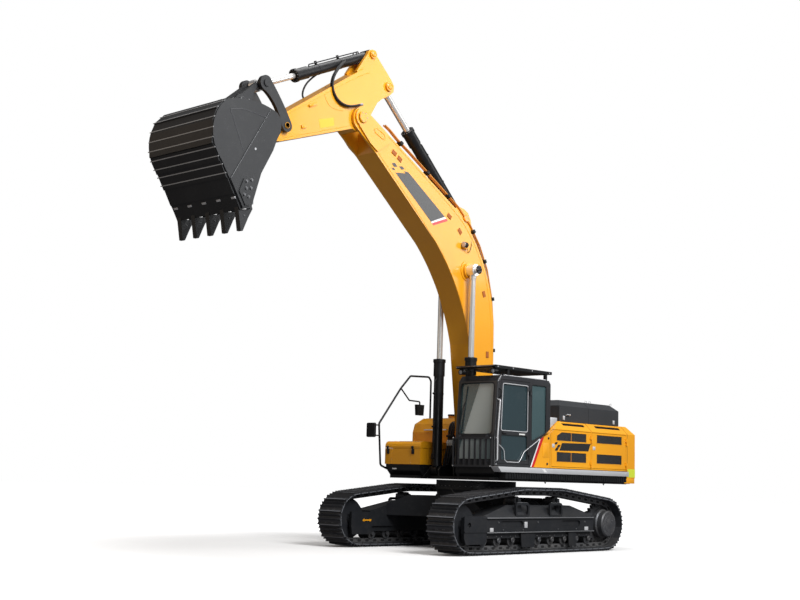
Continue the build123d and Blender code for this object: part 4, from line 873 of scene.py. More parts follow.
@dataclass
class Assembly:
    """A group of pieces that mostly ride on one body."""

    body: str = "upper"
    made: list[Piece] = field(default_factory=list)

    def dress(self, piece: Piece | Sequence[Piece], name: str, finish: str, bevel: float = 0.0) -> Piece:
        """Rounds and dresses one finished piece.

        Args:
            piece: the modelled piece, or the parts that are joined into it.
            name: its name.
            finish: the name of its finish.
            bevel: width of its rounded edges, or 0 for none.

        Returns:
            The dressed piece.
        """
        if not isinstance(piece, Piece):
            piece = join(piece)
        if bevel:
            ease(piece, bevel)
        pick(piece)
        bpy.ops.object.transform_apply(location=True, rotation=True, scale=True)
        bpy.ops.object.shade_smooth_by_angle(angle=SMOOTH_ANGLE)
        piece.name = name
        piece.data.materials.clear()
        piece.data.materials.append(FINISHES[finish])
        self.made.append(piece)
        return piece

    def put(self, piece: Piece | Sequence[Piece], name: str, finish: str, bevel: float = 0.0,
            body: str | None = None) -> Piece:
        """Dresses one finished piece and mounts it on a body.

        Args:
            piece: the modelled piece, or the parts that are joined into it.
            name: its name.
            finish: the name of its finish.
            bevel: width of its rounded edges, or 0 for none.
            body: the body it rides on, or the assembly's own.

        Returns:
            The mounted piece.
        """
        piece = self.dress(piece, name, finish, bevel)
        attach(piece, body or self.body)
        return piece

    def put_bolts(self, places: Iterable[BoltPlace], name: str, finish: str, body: str | None = None) -> Piece:
        """Dresses and mounts bolt heads at (place, direction, radius), joined into one piece."""
        pattern = repeat(bolt_pattern(), [facing(*place) for place in places])
        return self.put(pattern, name, finish, body=body)

    def put_caps(self, caps: Sequence[PinCap], names: Sequence[str], finishes: Sequence[str],
                 body: str | None = None) -> None:
        """Puts pin covers and their bolts on both sides of the machine.

        Args:
            caps: the covers.
            names: the names of the covers' piece and of the bolts' piece.
            finishes: their finishes.
            body: the body they ride on, or the assembly's own.
        """
        self.put([cap.cover(side) for cap in caps for side in Side], names[0], finishes[0], body=body)
        places = [place for cap in caps for side in Side for place in cap.bolts(side)]
        self.put_bolts(places, names[1], finishes[1], body)


@dataclass(frozen=True)
class PinCap:
    """Round cover with a circle of bolts on both ends of a pin."""

    x: float
    z: float
    radius: float
    face: float
    height: float = 0.016
    chamfer: float = 0.008
    rim: float = 0.006
    steps: int = 36
    count: int = 6
    phase: float = 0.0
    inset: float = 0.024
    size: float = 0.011

    def cover(self, side: Side) -> Piece:
        """The cover on one side."""
        profile = [(0, self.radius), (self.height - self.rim, self.radius), (self.height, self.radius - self.chamfer),
                   (self.height, 0.0)]
        return turned(at(self.x, side.value * self.face, self.z), side.out, profile, self.steps)

    def bolts(self, side: Side) -> list[BoltPlace]:
        """The bolts on one side's cover."""
        points = circle((self.x, self.z), self.radius - self.inset, self.count, self.phase)
        return side_bolts(side, points, self.face + self.height, self.size)


# ---------------------------------------------------------------------------------- undercarriage
@dataclass
class Undercarriage(Assembly):
    """Chain links, shoe bolts, hub bolts, roller caps and ledge trim of both tracks, with painted highlights on the
    ledge edges and lug tops.
    """

    body: str = "undercarriage"
    gauge_half: float = 1.37
    tumbler: Point = (2.21, 0.526)
    pin_radius: float = 0.415
    first_pin: Point = (0.044, 0.4127)
    chain_round: float = 0.06
    samples: int = 2880
    link_count: int = 53
    pitch: float = 0.2163
    shoe_top: float = 0.06
    strand_outer: float = 0.104
    roller_z: float = 0.244
    roller_reach: float = 1.65
    roller_count: int = 9
    frame_outer: float = 1.585
    hub_face: float = 1.6605

    def pins(self) -> list[Vector]:
        """Chain pins in the side view, as (x, z), from the idler's top over the carrier rollers.

        Returns:
            One place for each link.
        """
        x, z = self.tumbler
        rounds = [(side * x, z, self.pin_radius) for side in (1, -1)]
        rounds += [(side * px, pz, self.chain_round) for px, pz in ((1.76, 0.16), (0.62, 1.055)) for side in (1, -1)]
        start = math.atan2(self.first_pin[1], self.first_pin[0])
        line, lengths = [], [0.0]
        for step in range(self.samples + 1):
            angle = start + 2 * math.pi * step / self.samples
            across = Vector((math.cos(angle), math.sin(angle)))
            middle = max(rounds, key=lambda wheel: wheel[0] * across.x + wheel[1] * across.y + wheel[2])
            line.append(Vector(middle[:2]) + across * middle[2])
        for near, far in zip(line, line[1:]):
            lengths.append(lengths[-1] + (far - near).length)
        result, spot = [], 0
        for link in range(self.link_count):
            wanted = lengths[-1] * link / self.link_count
            while lengths[spot + 1] < wanted:
                spot += 1
            share = (wanted - lengths[spot]) / max(lengths[spot + 1] - lengths[spot], 1e-9)
            result.append(line[spot].lerp(line[spot + 1], share))
        return result

    def link_frames(self) -> list[tuple[Vector, Vector, Vector]]:
        """Each link's first pin, its direction and its outward direction, in the side view."""
        pins = self.pins()
        runs = [(far - near).normalized() for near, far in zip(pins, pins[1:] + pins[:1])]
        return [(pin, run, Vector((run.y, -run.x))) for pin, run in zip(pins, runs)]

    def links(self) -> None:
        """Link plates with a window filled with painted shade and a pin end, on the outer faces of each strand."""
        outline = eased([(-0.038, -0.05), (0.04, -0.053), (0.18, -0.053), (0.18, 0.03), (0.045, 0.038),
                         (-0.038, 0.03)], 0.02, 2)
        plate = slab([Vector((x, 0.0, z)) for x, z in outline], (0, 0.007, 0))
        # painted shade: a dark sheet set in each link's window
        opening = eased(rectangle((0.055, -0.03), (0.15, 0.016)), 0.015, 2)
        window = ease(slab([Vector((x, -0.001, z)) for x, z in opening], (0, -0.0015, 0)), 0.0008, 1)
        pin = turned(Vector(), LEFTWARD, [(0.0, 0.034), (0.01, 0.034), (0.01, 0.022), (0.018, 0.019), (0.018, 0.0)], 14)
        places = []
        for side in Side:
            for inner in (1, -1):
                y = side.value * self.gauge_half + inner * self.strand_outer
                places += [Matrix.Translation(at(spot.x, y, spot.y)) @ side_turn(run, out, inner)
                           for spot, run, out in self.link_frames()]
        self.put(closed(repeat(join([plate, pin]), places)), "chain_links", "link_steel")
        window_places = [place @ Matrix.Translation((0, 0.0095, 0)) for place in places]
        self.put(closed(repeat(window, window_places)), "link_windows", "dark_gap")

    def shoe_spots(self, share: float, height: float, offsets: Sequence[float] = (0.0,)) -> list[Matrix]:
        """Places on every shoe of both tracks, turned with the shoe.

        Args:
            share: how far along the shoe, as a share of the chain's pitch.
            height: how far out from the chain's pins.
            offsets: how far to the left of the track's middle, one place for each.

        Returns:
            The places, Z outwards.
        """
        places = []
        for side in Side:
            for pin, run, out in self.link_frames():
                spot = pin + run * (self.pitch * share) + out * height
                places += [Matrix.Translation(at(spot.x, side.value * self.gauge_half + y, spot.y))
                           @ side_turn(run, out) for y in offsets]
        return places

    def shoes(self) -> None:
        """Bolts, gaps, rubbed lug tops with painted highlights, rubbed ends, and relief holes of painted shade."""
        places = []
        for share in (0.28, 0.64):
            for place in self.shoe_spots(share, self.shoe_top + 0.001, (-0.095, -0.06, 0.06, 0.095)):
                places.append((place.translation, place.col[2].xyz, 0.013))
        self.put_bolts(places, "shoe_bolts", "link_steel")
        top = self.shoe_top
        for name, finish, pattern, spots in (
                ("shoe_gaps", "dark_gap", chip(rectangle((-0.005, -0.299), (0.005, 0.299)), 0.0, 0.0015),
                 self.shoe_spots(0.965, top + 0.0005)),
                # lug tops: bright strips, partly rubbed steel and partly a painted highlight along the lug edges
                ("lug_edges", "edge_steel", chip(rectangle((-0.006, -0.298), (0.006, 0.298)), 0.0, 0.0015),
                 self.shoe_spots(0.1, top + 0.0387)),
                ("shoe_ends", "edge_steel", chip(rectangle((-0.088, -0.0015), (0.088, 0.0015)), -0.005, 0.01),
                 self.shoe_spots(0.46, top - 0.006, (-0.3005, 0.3005))),
                # painted shade: dark patches where the shoes' relief holes are
                ("relief_holes", "dark_gap",
                 chip(eased(rectangle((-0.018, -0.034), (0.018, 0.034)), 0.014, 3), 0.0, 0.001),
                 self.shoe_spots(0.28, top + 0.0005))):
            self.put(repeat(pattern, spots), name, finish)

    def hub(self) -> None:
        """Bolt rings, filler plugs and rim of the final drives, and the idlers' axle covers."""
        x, z = self.tumbler
        places = []
        for side in Side:
            places += side_bolts(side, circle((-x, z), 0.268, 24), 1.522, 0.013)
            places += side_bolts(side, circle((-x, z), 0.205, 16), self.hub_face, 0.01)
            plugs = [(-x + 0.11 * math.cos(angle), z + 0.11 * math.sin(angle)) for angle in (0.5, 2.6)]
            places += side_bolts(side, plugs, self.hub_face, 0.018)
            places += side_bolts(side, circle((x - 0.05, z), 0.034, 6), 1.566, 0.008)
        self.put_bolts(places, "hub_bolts", "link_steel")
        profile = [(0.0, 0.165), (0.004, 0.16), (0.004, 0.06), (0.006, 0.055), (0.006, 0.0)]
        rims = [turned(at(-x, side.value * (self.hub_face - 0.001), z), side.out, profile, 40) for side in Side]
        self.put(rims, "hub_covers", "cast_steel")

    def rollers(self) -> None:
        """End caps of the bottom rollers with their collar bolts."""
        caps, places = [], []
        profile = [(0.0, 0.052), (0.012, 0.052), (0.018, 0.044), (0.018, 0.02), (0.012, 0.015), (0.012, 0.0)]
        for side in Side:
            for number in range(self.roller_count):
                x = self.roller_reach * (2 * number / (self.roller_count - 1) - 1)
                caps.append(turned(at(x, side.value * (self.gauge_half + 0.172), self.roller_z), side.out, profile, 20))
                collar = [(x - 0.075, self.roller_z + 0.075), (x + 0.075, self.roller_z + 0.075)]
                places += side_bolts(side, collar, self.gauge_half + 0.178, 0.012)
        self.put(caps, "roller_caps", "cast_steel")
        self.put_bolts(places, "roller_bolts", "link_steel")

    def frames(self) -> None:
        """Painted highlights as bright strips along the ledge edges, and tabs, step treads and covers on the outer
        faces of the track frames.
        """
        edges, tabs, treads, marks, plugs = [], [], [], [], []
        face = self.frame_outer
        arrow = [(1.75, 0.5), (1.8, 0.53), (1.8, 0.512), (1.95, 0.512), (1.95, 0.53), (2.0, 0.5), (1.95, 0.47),
                 (1.95, 0.488), (1.8, 0.488), (1.8, 0.47)]
        for side in Side:
            # painted highlights: bright strips along the upper and lower ledge edges
            for z in ((0.645, 0.659), (0.386, 0.398)):
                edges.append(block((-1.74, 1.66), side.span(face + 0.026, face + 0.03), z))
            for x, z in (((1.46, 1.56), (0.4, 0.475)), ((-1.56, -1.44), (0.395, 0.477)), ((0.44, 0.53), (0.47, 0.58))):
                tabs.append(block(x, side.span(face, face + 0.014), z, 0.004))
            for x in (0.6, -0.465):
                treads.append(block((x - 0.155, x + 0.155), side.span(face - 0.012, face + 0.012), (0.9295, 0.934),
                                    0.001))
            marks.append(side_slab(arrow, side.value * (self.gauge_half - 0.215), -side.value * 0.004))
            plugs += side_bolts(side, [(x, 0.57) for x in (1.3, 0.1, -1.45)], face, 0.02)
            plugs += side_bolts(side, [(x, 0.435) for x in (0.56, 1.16, -0.55, -1.16)], face + 0.001, 0.014)
        self.put(edges, "ledge_edges", "worn_steel", 0.001)
        self.put(tabs, "ledge_tabs", "silver_paint")
        self.put(treads, "step_treads", "worn_steel")
        self.put(marks, "tie_down_marks", "yellow_paint")
        self.put_bolts(plugs, "frame_bolts", "link_steel")

    def build(self) -> None:
        """Makes the undercarriage's pieces."""
        self.links()
        self.shoes()
        self.hub()
        self.rollers()
        self.frames()


@dataclass
class Turntable(Assembly):
    """Bolts of the slew ring and the grease pipe on the car body."""

    body: str = "undercarriage"
    bolt_count: int = 44
    bolt_circle: float = 0.807
    flange_top: float = 1.19

    def build(self) -> None:
        """Makes the ring's pieces."""
        spots = circle((0, 0), self.bolt_circle, self.bolt_count)
        self.put_bolts([(at(x, y, self.flange_top), UP, 0.017) for x, y in spots], "ring_bolts", "link_steel")
        seal = turned(at(0, 0, 1.1205), UP, [(0.0, 0.832), (0.012, 0.838), (0.03, 0.838), (0.036, 0.832)], 96)
        self.put(seal, "ring_seal", "rubber")
        grease = pipe([(0.93, 0.3, 0.99), (0.93, 0.3, 1.04), (0.86, 0.16, 1.06), (0.83, 0.05, 1.15)], 0.03, 0.009)
        self.put(grease, "grease_pipe", "rubber")


# ------------------------------------------------------------------------------------- upper body
@dataclass
class UpperBody(Assembly):
    """Walkway trim, hood grilles and seams, stripes, signs and covers of the upper body."""

    face: float = 1.49
    walk: float = 1.67
    rail_inner: float = 1.497
    rail_rear: float = -2.925
    rib_count: int = 51
    rib_pitch: float = 0.078

    def walkway(self) -> None:
        """Silver kick rail with its cut front end and a painted highlight, and the ribbed skirt below it."""
        rear, proud = self.rail_rear, self.walk + 0.002
        rail = side_slab([(1.455, 1.5735), (1.355, 1.4775), (rear, 1.4775), (rear, 1.5735)], self.rail_inner,
                         proud - self.rail_inner)
        self.put(rail, "kick_rail_left", "silver_paint", 0.006)
        lip = side_slab([(1.445, 1.5775), (1.445, 1.5735), (rear, 1.5735), (rear, 1.5775)], 1.5, 0.165)
        self.put(lip, "kick_rail_tread", "worn_steel", 0.001)
        rib = moved_block(Matrix(), (-0.016, 0.016), (0.0, 0.012), (-0.052, 0.052), 0.003, 1)
        places = [Matrix.Translation(at(-2.82 + self.rib_pitch * number, 1.64, 1.417))
                  for number in range(self.rib_count)]
        self.put(repeat(rib, places), "skirt_ribs_left", "black_paint")
        # painted highlight: a small white patch on the silver kick rail
        highlight_patch = side_slab([(0.109, 1.56), (0.025, 1.56), (-0.062, 1.5), (0.03, 1.5)], proud, 0.002)
        self.put(highlight_patch, "rail_patch", "white_paint")
        spots = [(x, 1.525) for x in (1.2, 0.4, -0.4, -1.2, -2.0, -2.8)]
        self.put_bolts(side_bolts(Side.LEFT, spots, proud, 0.01), "rail_bolts", "silver_paint")
        hooks = [pipe([(x - 0.04, 1.56, 1.345), (x, 1.56, 1.29), (x + 0.04, 1.56, 1.345)], 0.02, 0.007)
                 for x in (-0.15, -2.15)]
        self.put(hooks, "skirt_hooks", "black_paint")

    def stripes(self) -> None:
        """White and red stripe along the cab's rear diagonal."""
        white = [(-0.045, 2.118), (-0.08, 2.135), (0.205, 1.594), (0.24, 1.594)]
        red = [(-0.08, 2.135), (-0.19, 2.178), (0.128, 1.594), (0.205, 1.594)]
        self.put(side_slab(white, self.face + 0.0005, 0.003), "white_stripe", "white_paint")
        self.put(side_slab(red, self.face + 0.0005, 0.003), "red_stripe", "red_paint")

    def seam(self, x: float, low: Point, high: Point, depth: Point) -> Piece:
        """Narrow strip across X from one point (y, z) to another; depth runs from one face to the other."""
        return slab([at(x - 0.004, *low), at(x + 0.004, *low), at(x + 0.004, *high), at(x - 0.004, *high)], depth)

    def seams(self) -> None:
        """Dark gaps between the counterweight, the hood's panels and the shell."""
        gaps = []
        proud = self.face + 0.0003
        for side in Side:
            gaps.append(side_slab(rectangle((-3.149, 1.595), (-3.141, 2.35)), side.value * proud, side.value * 0.001))
            gaps.append(self.seam(-3.145, (side.value * 1.4905, 2.3505), (side.value * 1.3305, 2.5105),
                                  (0, side.value * 0.001, 0.001)))
        gaps.append(self.seam(-1.815, (1.4905, 2.3505), (1.3305, 2.5105), (0, 0.001, 0.001)))
        gaps.append(side_slab(rectangle((-0.399, 1.595), (-0.391, 2.24)), proud, 0.001))
        self.put(gaps, "panel_gaps", "dark_gap")

    def vents(self) -> None:
        """Slatted inserts in the long shoulder vents, over dark beds of painted shade."""
        beds, slats = [], []
        for side, front_end in ((Side.LEFT, -0.935), (Side.RIGHT, -0.985)):
            for rear, front in ((-1.7, front_end), (-3.0, -2.08)):
                corners = [at(x, side.value * y, z) for x, y, z in (
                    (rear, 1.353, 2.47), (front, 1.353, 2.47), (front, 1.402, 2.432), (rear, 1.402, 2.432))]
                # painted shade: a dark bed under the slats
                beds.append(slab(corners, (0, -side.value * 0.002, -0.003)))
                for share in (0.125, 0.375, 0.625, 0.875):
                    y, z = 1.353 + 0.049 * share, 2.472 - 0.038 * share
                    slats.append(block((rear + 0.01, front - 0.01), side.span(y - 0.004, y + 0.002), (z, z + 0.008),
                                       0.001, 1))
        self.put(beds, "vent_beds", "dark_gap")
        self.put(slats, "vent_slats", "black_paint")

    def panel(self) -> None:
        """Access cover, knobs and the pale air duct behind the cab, and the blank sign on the counterweight."""
        cover = side_slab(eased(rectangle((-0.36, 1.79), (-0.15, 2.06)), 0.02), self.face, 0.004)
        self.put(cover, "access_cover", "yellow_paint", 0.001)
        knob = [(0, 0.022), (0.01, 0.022), (0.016, 0.016), (0.016, 0.0)]
        knobs = [turned(at(x, self.face, z), LEFTWARD, knob, 20) for x, z in ((-0.335, 2.155), (-0.3, 1.665))]
        self.put(knobs, "panel_knobs", "rubber")
        duct = side_slab([(-0.445, 2.29), (-0.53, 2.576), (-0.784, 2.576), (-0.788, 2.505)], 0.72, 0.66)
        self.put(duct, "air_duct", "pale_grey", 0.02)
        self.put(side_slab(rectangle((-3.445, 1.465), (-3.165, 1.635)), self.face, 0.002), "corner_sign", "lime_sign")
        low = side_slab([(-3.03, 1.34), (-3.43, 1.34), (-3.43, 1.44), (-3.16, 1.455)], self.face - 0.006, 0.005)
        self.put(low, "weight_foot", "yellow_paint", 0.003)

    def engine_cover(self) -> None:
        """Lifting eyes, seams, a handle and the latches of the engine cover."""
        eyes = [pipe([(x - 0.035, 1.16, 2.948), (x - 0.03, 1.16, 2.985), (x + 0.03, 1.16, 2.985),
                      (x + 0.035, 1.16, 2.948)], 0.02, 0.006) for x in (-2.08, -2.23, -3.0)]
        self.put(eyes, "cover_eyes", "silver_paint", body="engine_cover")
        gaps = [side_slab(rectangle((-1.984, 2.52), (-1.976, 2.835)), 1.3002, 0.001),
                self.seam(-1.98, (1.3005, 2.8305), (1.1705, 2.9505), (0, 0.001, 0.001)),
                self.seam(-1.98, (1.1705, 2.9505), (-0.6295, 2.9505), (0, 0.0, 0.001))]
        self.put(gaps, "cover_seam", "dark_gap", body="engine_cover")
        handle = pipe([(-1.18, 1.302, 2.64), (-1.18, 1.335, 2.66), (-1.3, 1.335, 2.66), (-1.3, 1.302, 2.64)],
                      0.02, 0.008)
        latches = [block((x - 0.03, x + 0.03), (1.299, 1.318), (2.55, 2.63), 0.005) for x in (-1.1, -2.9)]
        self.put([handle] + latches, "cover_handle", "silver_paint", body="engine_cover")

    def tanks(self) -> None:
        """Filler cap, silver shelf, tread plates and bolts of the fuel tank."""
        cap = turned(at(-0.3, -0.9, 2.605), UP, [(0.0, 0.095), (0.026, 0.095), (0.034, 0.088), (0.036, 0.0)], 36)
        self.put(cap, "filler_cap", "rubber")
        shelf = side_slab([(0.25, 2.285), (0.298, 2.285), (0.298, 2.3), (0.285, 2.31), (0.25, 2.31)], -1.15, 0.59)
        self.put(shelf, "tank_shelf", "silver_paint", 0.002)
        plates = [block(x, (-1.3, -0.6), (2.5405, 2.5445), 0.001, 1) for x in ((-0.86, -0.42), (-0.16, 0.05))]
        self.put(plates, "tank_treads", "worn_steel")
        places = [(at(0.2505, y, z), AHEAD, 0.012) for y in (-1.42, -0.57) for z in (2.15, 2.22)]
        places += [(at(x, y, 2.5105), UP, 0.013) for x in (-0.95, -3.05) for y in (-1.25, 1.32)]
        self.put_bolts(places, "tank_bolts", "yellow_paint")

    def hoses(self) -> None:
        """Hoses that rise beside the boom's foot, with white fittings and a clamp, and the pair inside the foot."""
        fittings = []
        collar = [(0, 0.0), (0, 0.027), (0.045, 0.027), (0.045, 0.036), (0.08, 0.036), (0.08, 0.027),
                  (0.115, 0.025), (0.115, 0.0)]
        for number, y in enumerate((-0.452, -0.395, -0.338)):
            route = [(0.47, y, 1.4), (0.47, y, 1.62), (0.4, y, 1.84), (0.345, y, 2.02), (0.33, y, 2.22),
                     (0.27, y - 0.02, 2.42), (0.12, y * 0.6 - 0.19, 2.47), (0.0, y * 0.4 - 0.29, 2.36)]
            self.put(hose(route, 0.021), f"side_hose_{number}", "rubber")
            fittings.append(turned(at(0.352, y, 1.98), Vector((-0.06, 0, 1)), collar, 16))
        self.put(fittings, "hose_fittings", "white_fitting")
        self.put(block((0.3, 0.365), (-0.498, -0.305), (2.15, 2.19), 0.006), "hose_bar", "black_paint")
        for number, y in enumerate((-0.055, 0.055)):
            route = [(0.62, y, 1.38), (0.64, y, 1.62), (0.56, y * 1.05, 1.8), (0.432, y, 1.93), (0.425, y, 2.1),
                     (0.44, y, 2.34), (0.43, y * 1.1, 2.6)]
            inside = self.dress(hose(route, 0.021), f"foot_hose_{number}", "rubber")
            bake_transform(inside)
        clamp = [block((0.405, 0.445), (-0.105, 0.105), (2.16, 2.2), 0.005),
                 block((0.34, 0.42), (-0.03, 0.03), (2.165, 2.195), 0.004)]
        self.put(clamp, "hose_clamp", "black_paint", body="boom")

    def build(self) -> None:
        """Makes the upper body's pieces."""
        self.walkway()
        self.stripes()
        self.seams()
        self.vents()
        self.panel()
        self.engine_cover()
        self.tanks()
        self.hoses()


@dataclass
class Toolbox(Assembly):
    """Latches, seams and tread of the toolbox, and the fittings of the nose below it."""

    front: float = 1.06
    seam: float = 1.904

    def build(self) -> None:
        """Makes the toolbox's pieces."""
        front, seam = self.front, self.seam
        for number, y in enumerate((-1.405, -0.745)):
            base = block((front, front + 0.012), (y - 0.035, y + 0.035), (seam - 0.115, seam - 0.015), 0.004)
            hasp = block((front + 0.01, front + 0.026), (y - 0.022, y + 0.022), (seam - 0.09, seam + 0.045), 0.006)
            loop = pipe([(front + 0.02, y - 0.018, seam - 0.03), (front + 0.034, y - 0.018, seam + 0.03),
                         (front + 0.034, y + 0.018, seam + 0.03), (front + 0.02, y + 0.018, seam - 0.03)],
                        0.012, 0.005)
            self.put([base, hasp, loop], f"latch_{number}", "rubber")
        folds = [block((front - 0.001, front + 0.0025), (y - 0.006, y + 0.006), (1.6, 1.885), 0.001, 1)
                 for y in (-1.31, -0.8)]
        self.put(folds, "box_folds", "yellow_paint")
        bead = [(1.0605, 1.915), (1.0605, 1.945), (1.047, 1.993), (1.018, 2.025), (0.972, 2.0415), (0.33, 2.0415),
                (0.33, 2.0435), (0.974, 2.0435), (1.0195, 2.027), (1.049, 1.994), (1.063, 1.945), (1.063, 1.915)]
        self.put([side_slab(bead, y, 0.014) for y in (-1.317, -0.807)], "lid_folds", "yellow_paint", body="toolbox_lid")
        tread = block((0.36, 0.94), (-1.22, -0.86), (2.0405, 2.0445), 0.001, 1)
        self.put(tread, "lid_tread", "worn_steel", body="toolbox_lid")
        plate = block((front - 0.0005, front + 0.0025), (-1.28, -1.17), (1.487, 1.512), 0.0008, 1)
        self.put(plate, "nose_plate", "white_paint")
        places = [(at(front, y, 1.545), AHEAD, 0.01) for y in (-1.38, -1.0, -0.62)]
        self.put_bolts(places, "nose_bolts", "black_paint")
        spots = [(x, 1.552) for x in (0.6, -0.2, -1.0, -1.8, -2.6)]
        self.put_bolts(side_bolts(Side.RIGHT, spots, 1.5205, 0.01), "right_rail_bolts", "black_paint")


@dataclass
class Doors(Assembly):
    """Grilles, locks, bands and stiffeners of the three hood doors."""

    face: float = 1.49
    louvre_pitch: float = 0.021
    low_row: Point = (1.71, 1.915)
    high_row: Point = (2.115, 2.3)

    def grille(self, body: str, side: Side, corners: Points, name: str) -> None:
        """Fills one window with a dark bed of painted shade, fine louvres and a raised lip.

        Args:
            body: the door's body.
            side: the machine's side that the door closes.
            corners: the window's corners as (x, z).
            name: name stem of the pieces.
        """
        out = side.value
        rear, full = min(x for x, _ in corners), max(x for x, _ in corners)
        low, high = min(z for _, z in corners), max(z for _, z in corners)
        # painted shade: a dark bed behind the louvres
        shade_bed = side_slab(eased(corners, 0.012, 2), out * (self.face - 0.0065), out * 0.002)
        slats = []
        count = round((high - low) / self.louvre_pitch)
        for number in range(count):
            z = low + (high - low) * (number + 0.5) / count
            front = full
            if len(corners) > 4 and z > corners[2][1]:
                (cut_x, cut_z), (top_x, top_z) = corners[2], corners[3]
                front = cut_x + (top_x - cut_x) * (z - cut_z) / (top_z - cut_z)
            profile = [(0.0, z - 0.007), (0.0035, z - 0.005), (0.0015, z + 0.007), (0.0, z + 0.007)]
            slats.append(slab(on_front([(out * (self.face - 0.0045 + depth), height) for depth, height in profile],
                                       rear + 0.006), (front - rear - 0.012, 0, 0)))
        self.put(shade_bed, f"{name}_bed", "dark_gap", body=body)
        self.put(slats, f"{name}_louvres", "louvre_black", body=body)
        lip = ring(on_side(eased(corners, 0.014, 3), out * self.face), 0.01, (0, out * 0.003, 0))
        self.put(lip, f"{name}_lip", "yellow_paint", body=body)

    def build(self) -> None:
        """Makes the doors' pieces."""
        front_door, rear_door, right_door = "hood_door_left_front", "hood_door_left_rear", "hood_door_right"
        (low, low_top), (high, high_top) = self.low_row, self.high_row
        cut = [(-1.635, high), (-0.605, high), (-0.605, 2.225), (-0.77, high_top), (-1.635, high_top)]
        for body, side, rear, front, name, corners in (
                (front_door, Side.LEFT, -1.635, -0.605, "grille_a", cut),
                (rear_door, Side.LEFT, -2.935, -1.995, "grille_b", None),
                (right_door, Side.RIGHT, -2.935, -1.46, "grille_c", None)):
            self.grille(body, side, corners or rectangle((rear, high), (front, high_top)), f"{name}_high")
            self.grille(body, side, rectangle((rear, low), (front, low_top)), f"{name}_low")
        posts = [block((-1.112, -1.096), (self.face - 0.002, self.face + 0.001), (z_low + 0.002, z_high - 0.002))
                 for z_low, z_high in (self.low_row, self.high_row)]
        self.put(posts, "grille_post", "amber_pipe", body=front_door)
        band = [(-0.79, 2.086), (-1.782, 2.103), (-1.7, 1.95), (-0.7, 1.933)]
        self.put(side_slab(band, self.face, 0.002), "blank_band", "blank_plate", body=front_door)
        squares = [[(-0.6, 1.99), (-0.69, 1.99), (-0.64, 1.93), (-0.548, 1.93)],
                   [(-0.66, 2.045), (-0.745, 2.045), (-0.7, 1.993), (-0.612, 1.993)],
                   [(-0.57, 2.092), (-0.65, 2.092), (-0.61, 2.048), (-0.53, 2.048)]]
        self.put([side_slab(square, self.face, 0.002) for square in squares], "band_squares", "blank_plate",
                 body=front_door)
        for name, body, x, side in (("lock_a", front_door, -0.5, Side.LEFT), ("lock_b", rear_door, -1.905, Side.LEFT),
                                    ("lock_c", right_door, -1.37, Side.RIGHT)):
            out = side.value
            plate = side_slab(eased(rectangle((x - 0.045, 1.985), (x + 0.045, 2.055)), 0.012), out * self.face,
                              out * 0.004)
            key = turned(at(x - 0.015, out * (self.face + 0.003), 2.02), side.out,
                         [(0, 0.014), (0.006, 0.014), (0.008, 0.01), (0.008, 0.0)], 16)
            self.put([ease(plate, 0.001), key], name, "silver_paint", body=body)


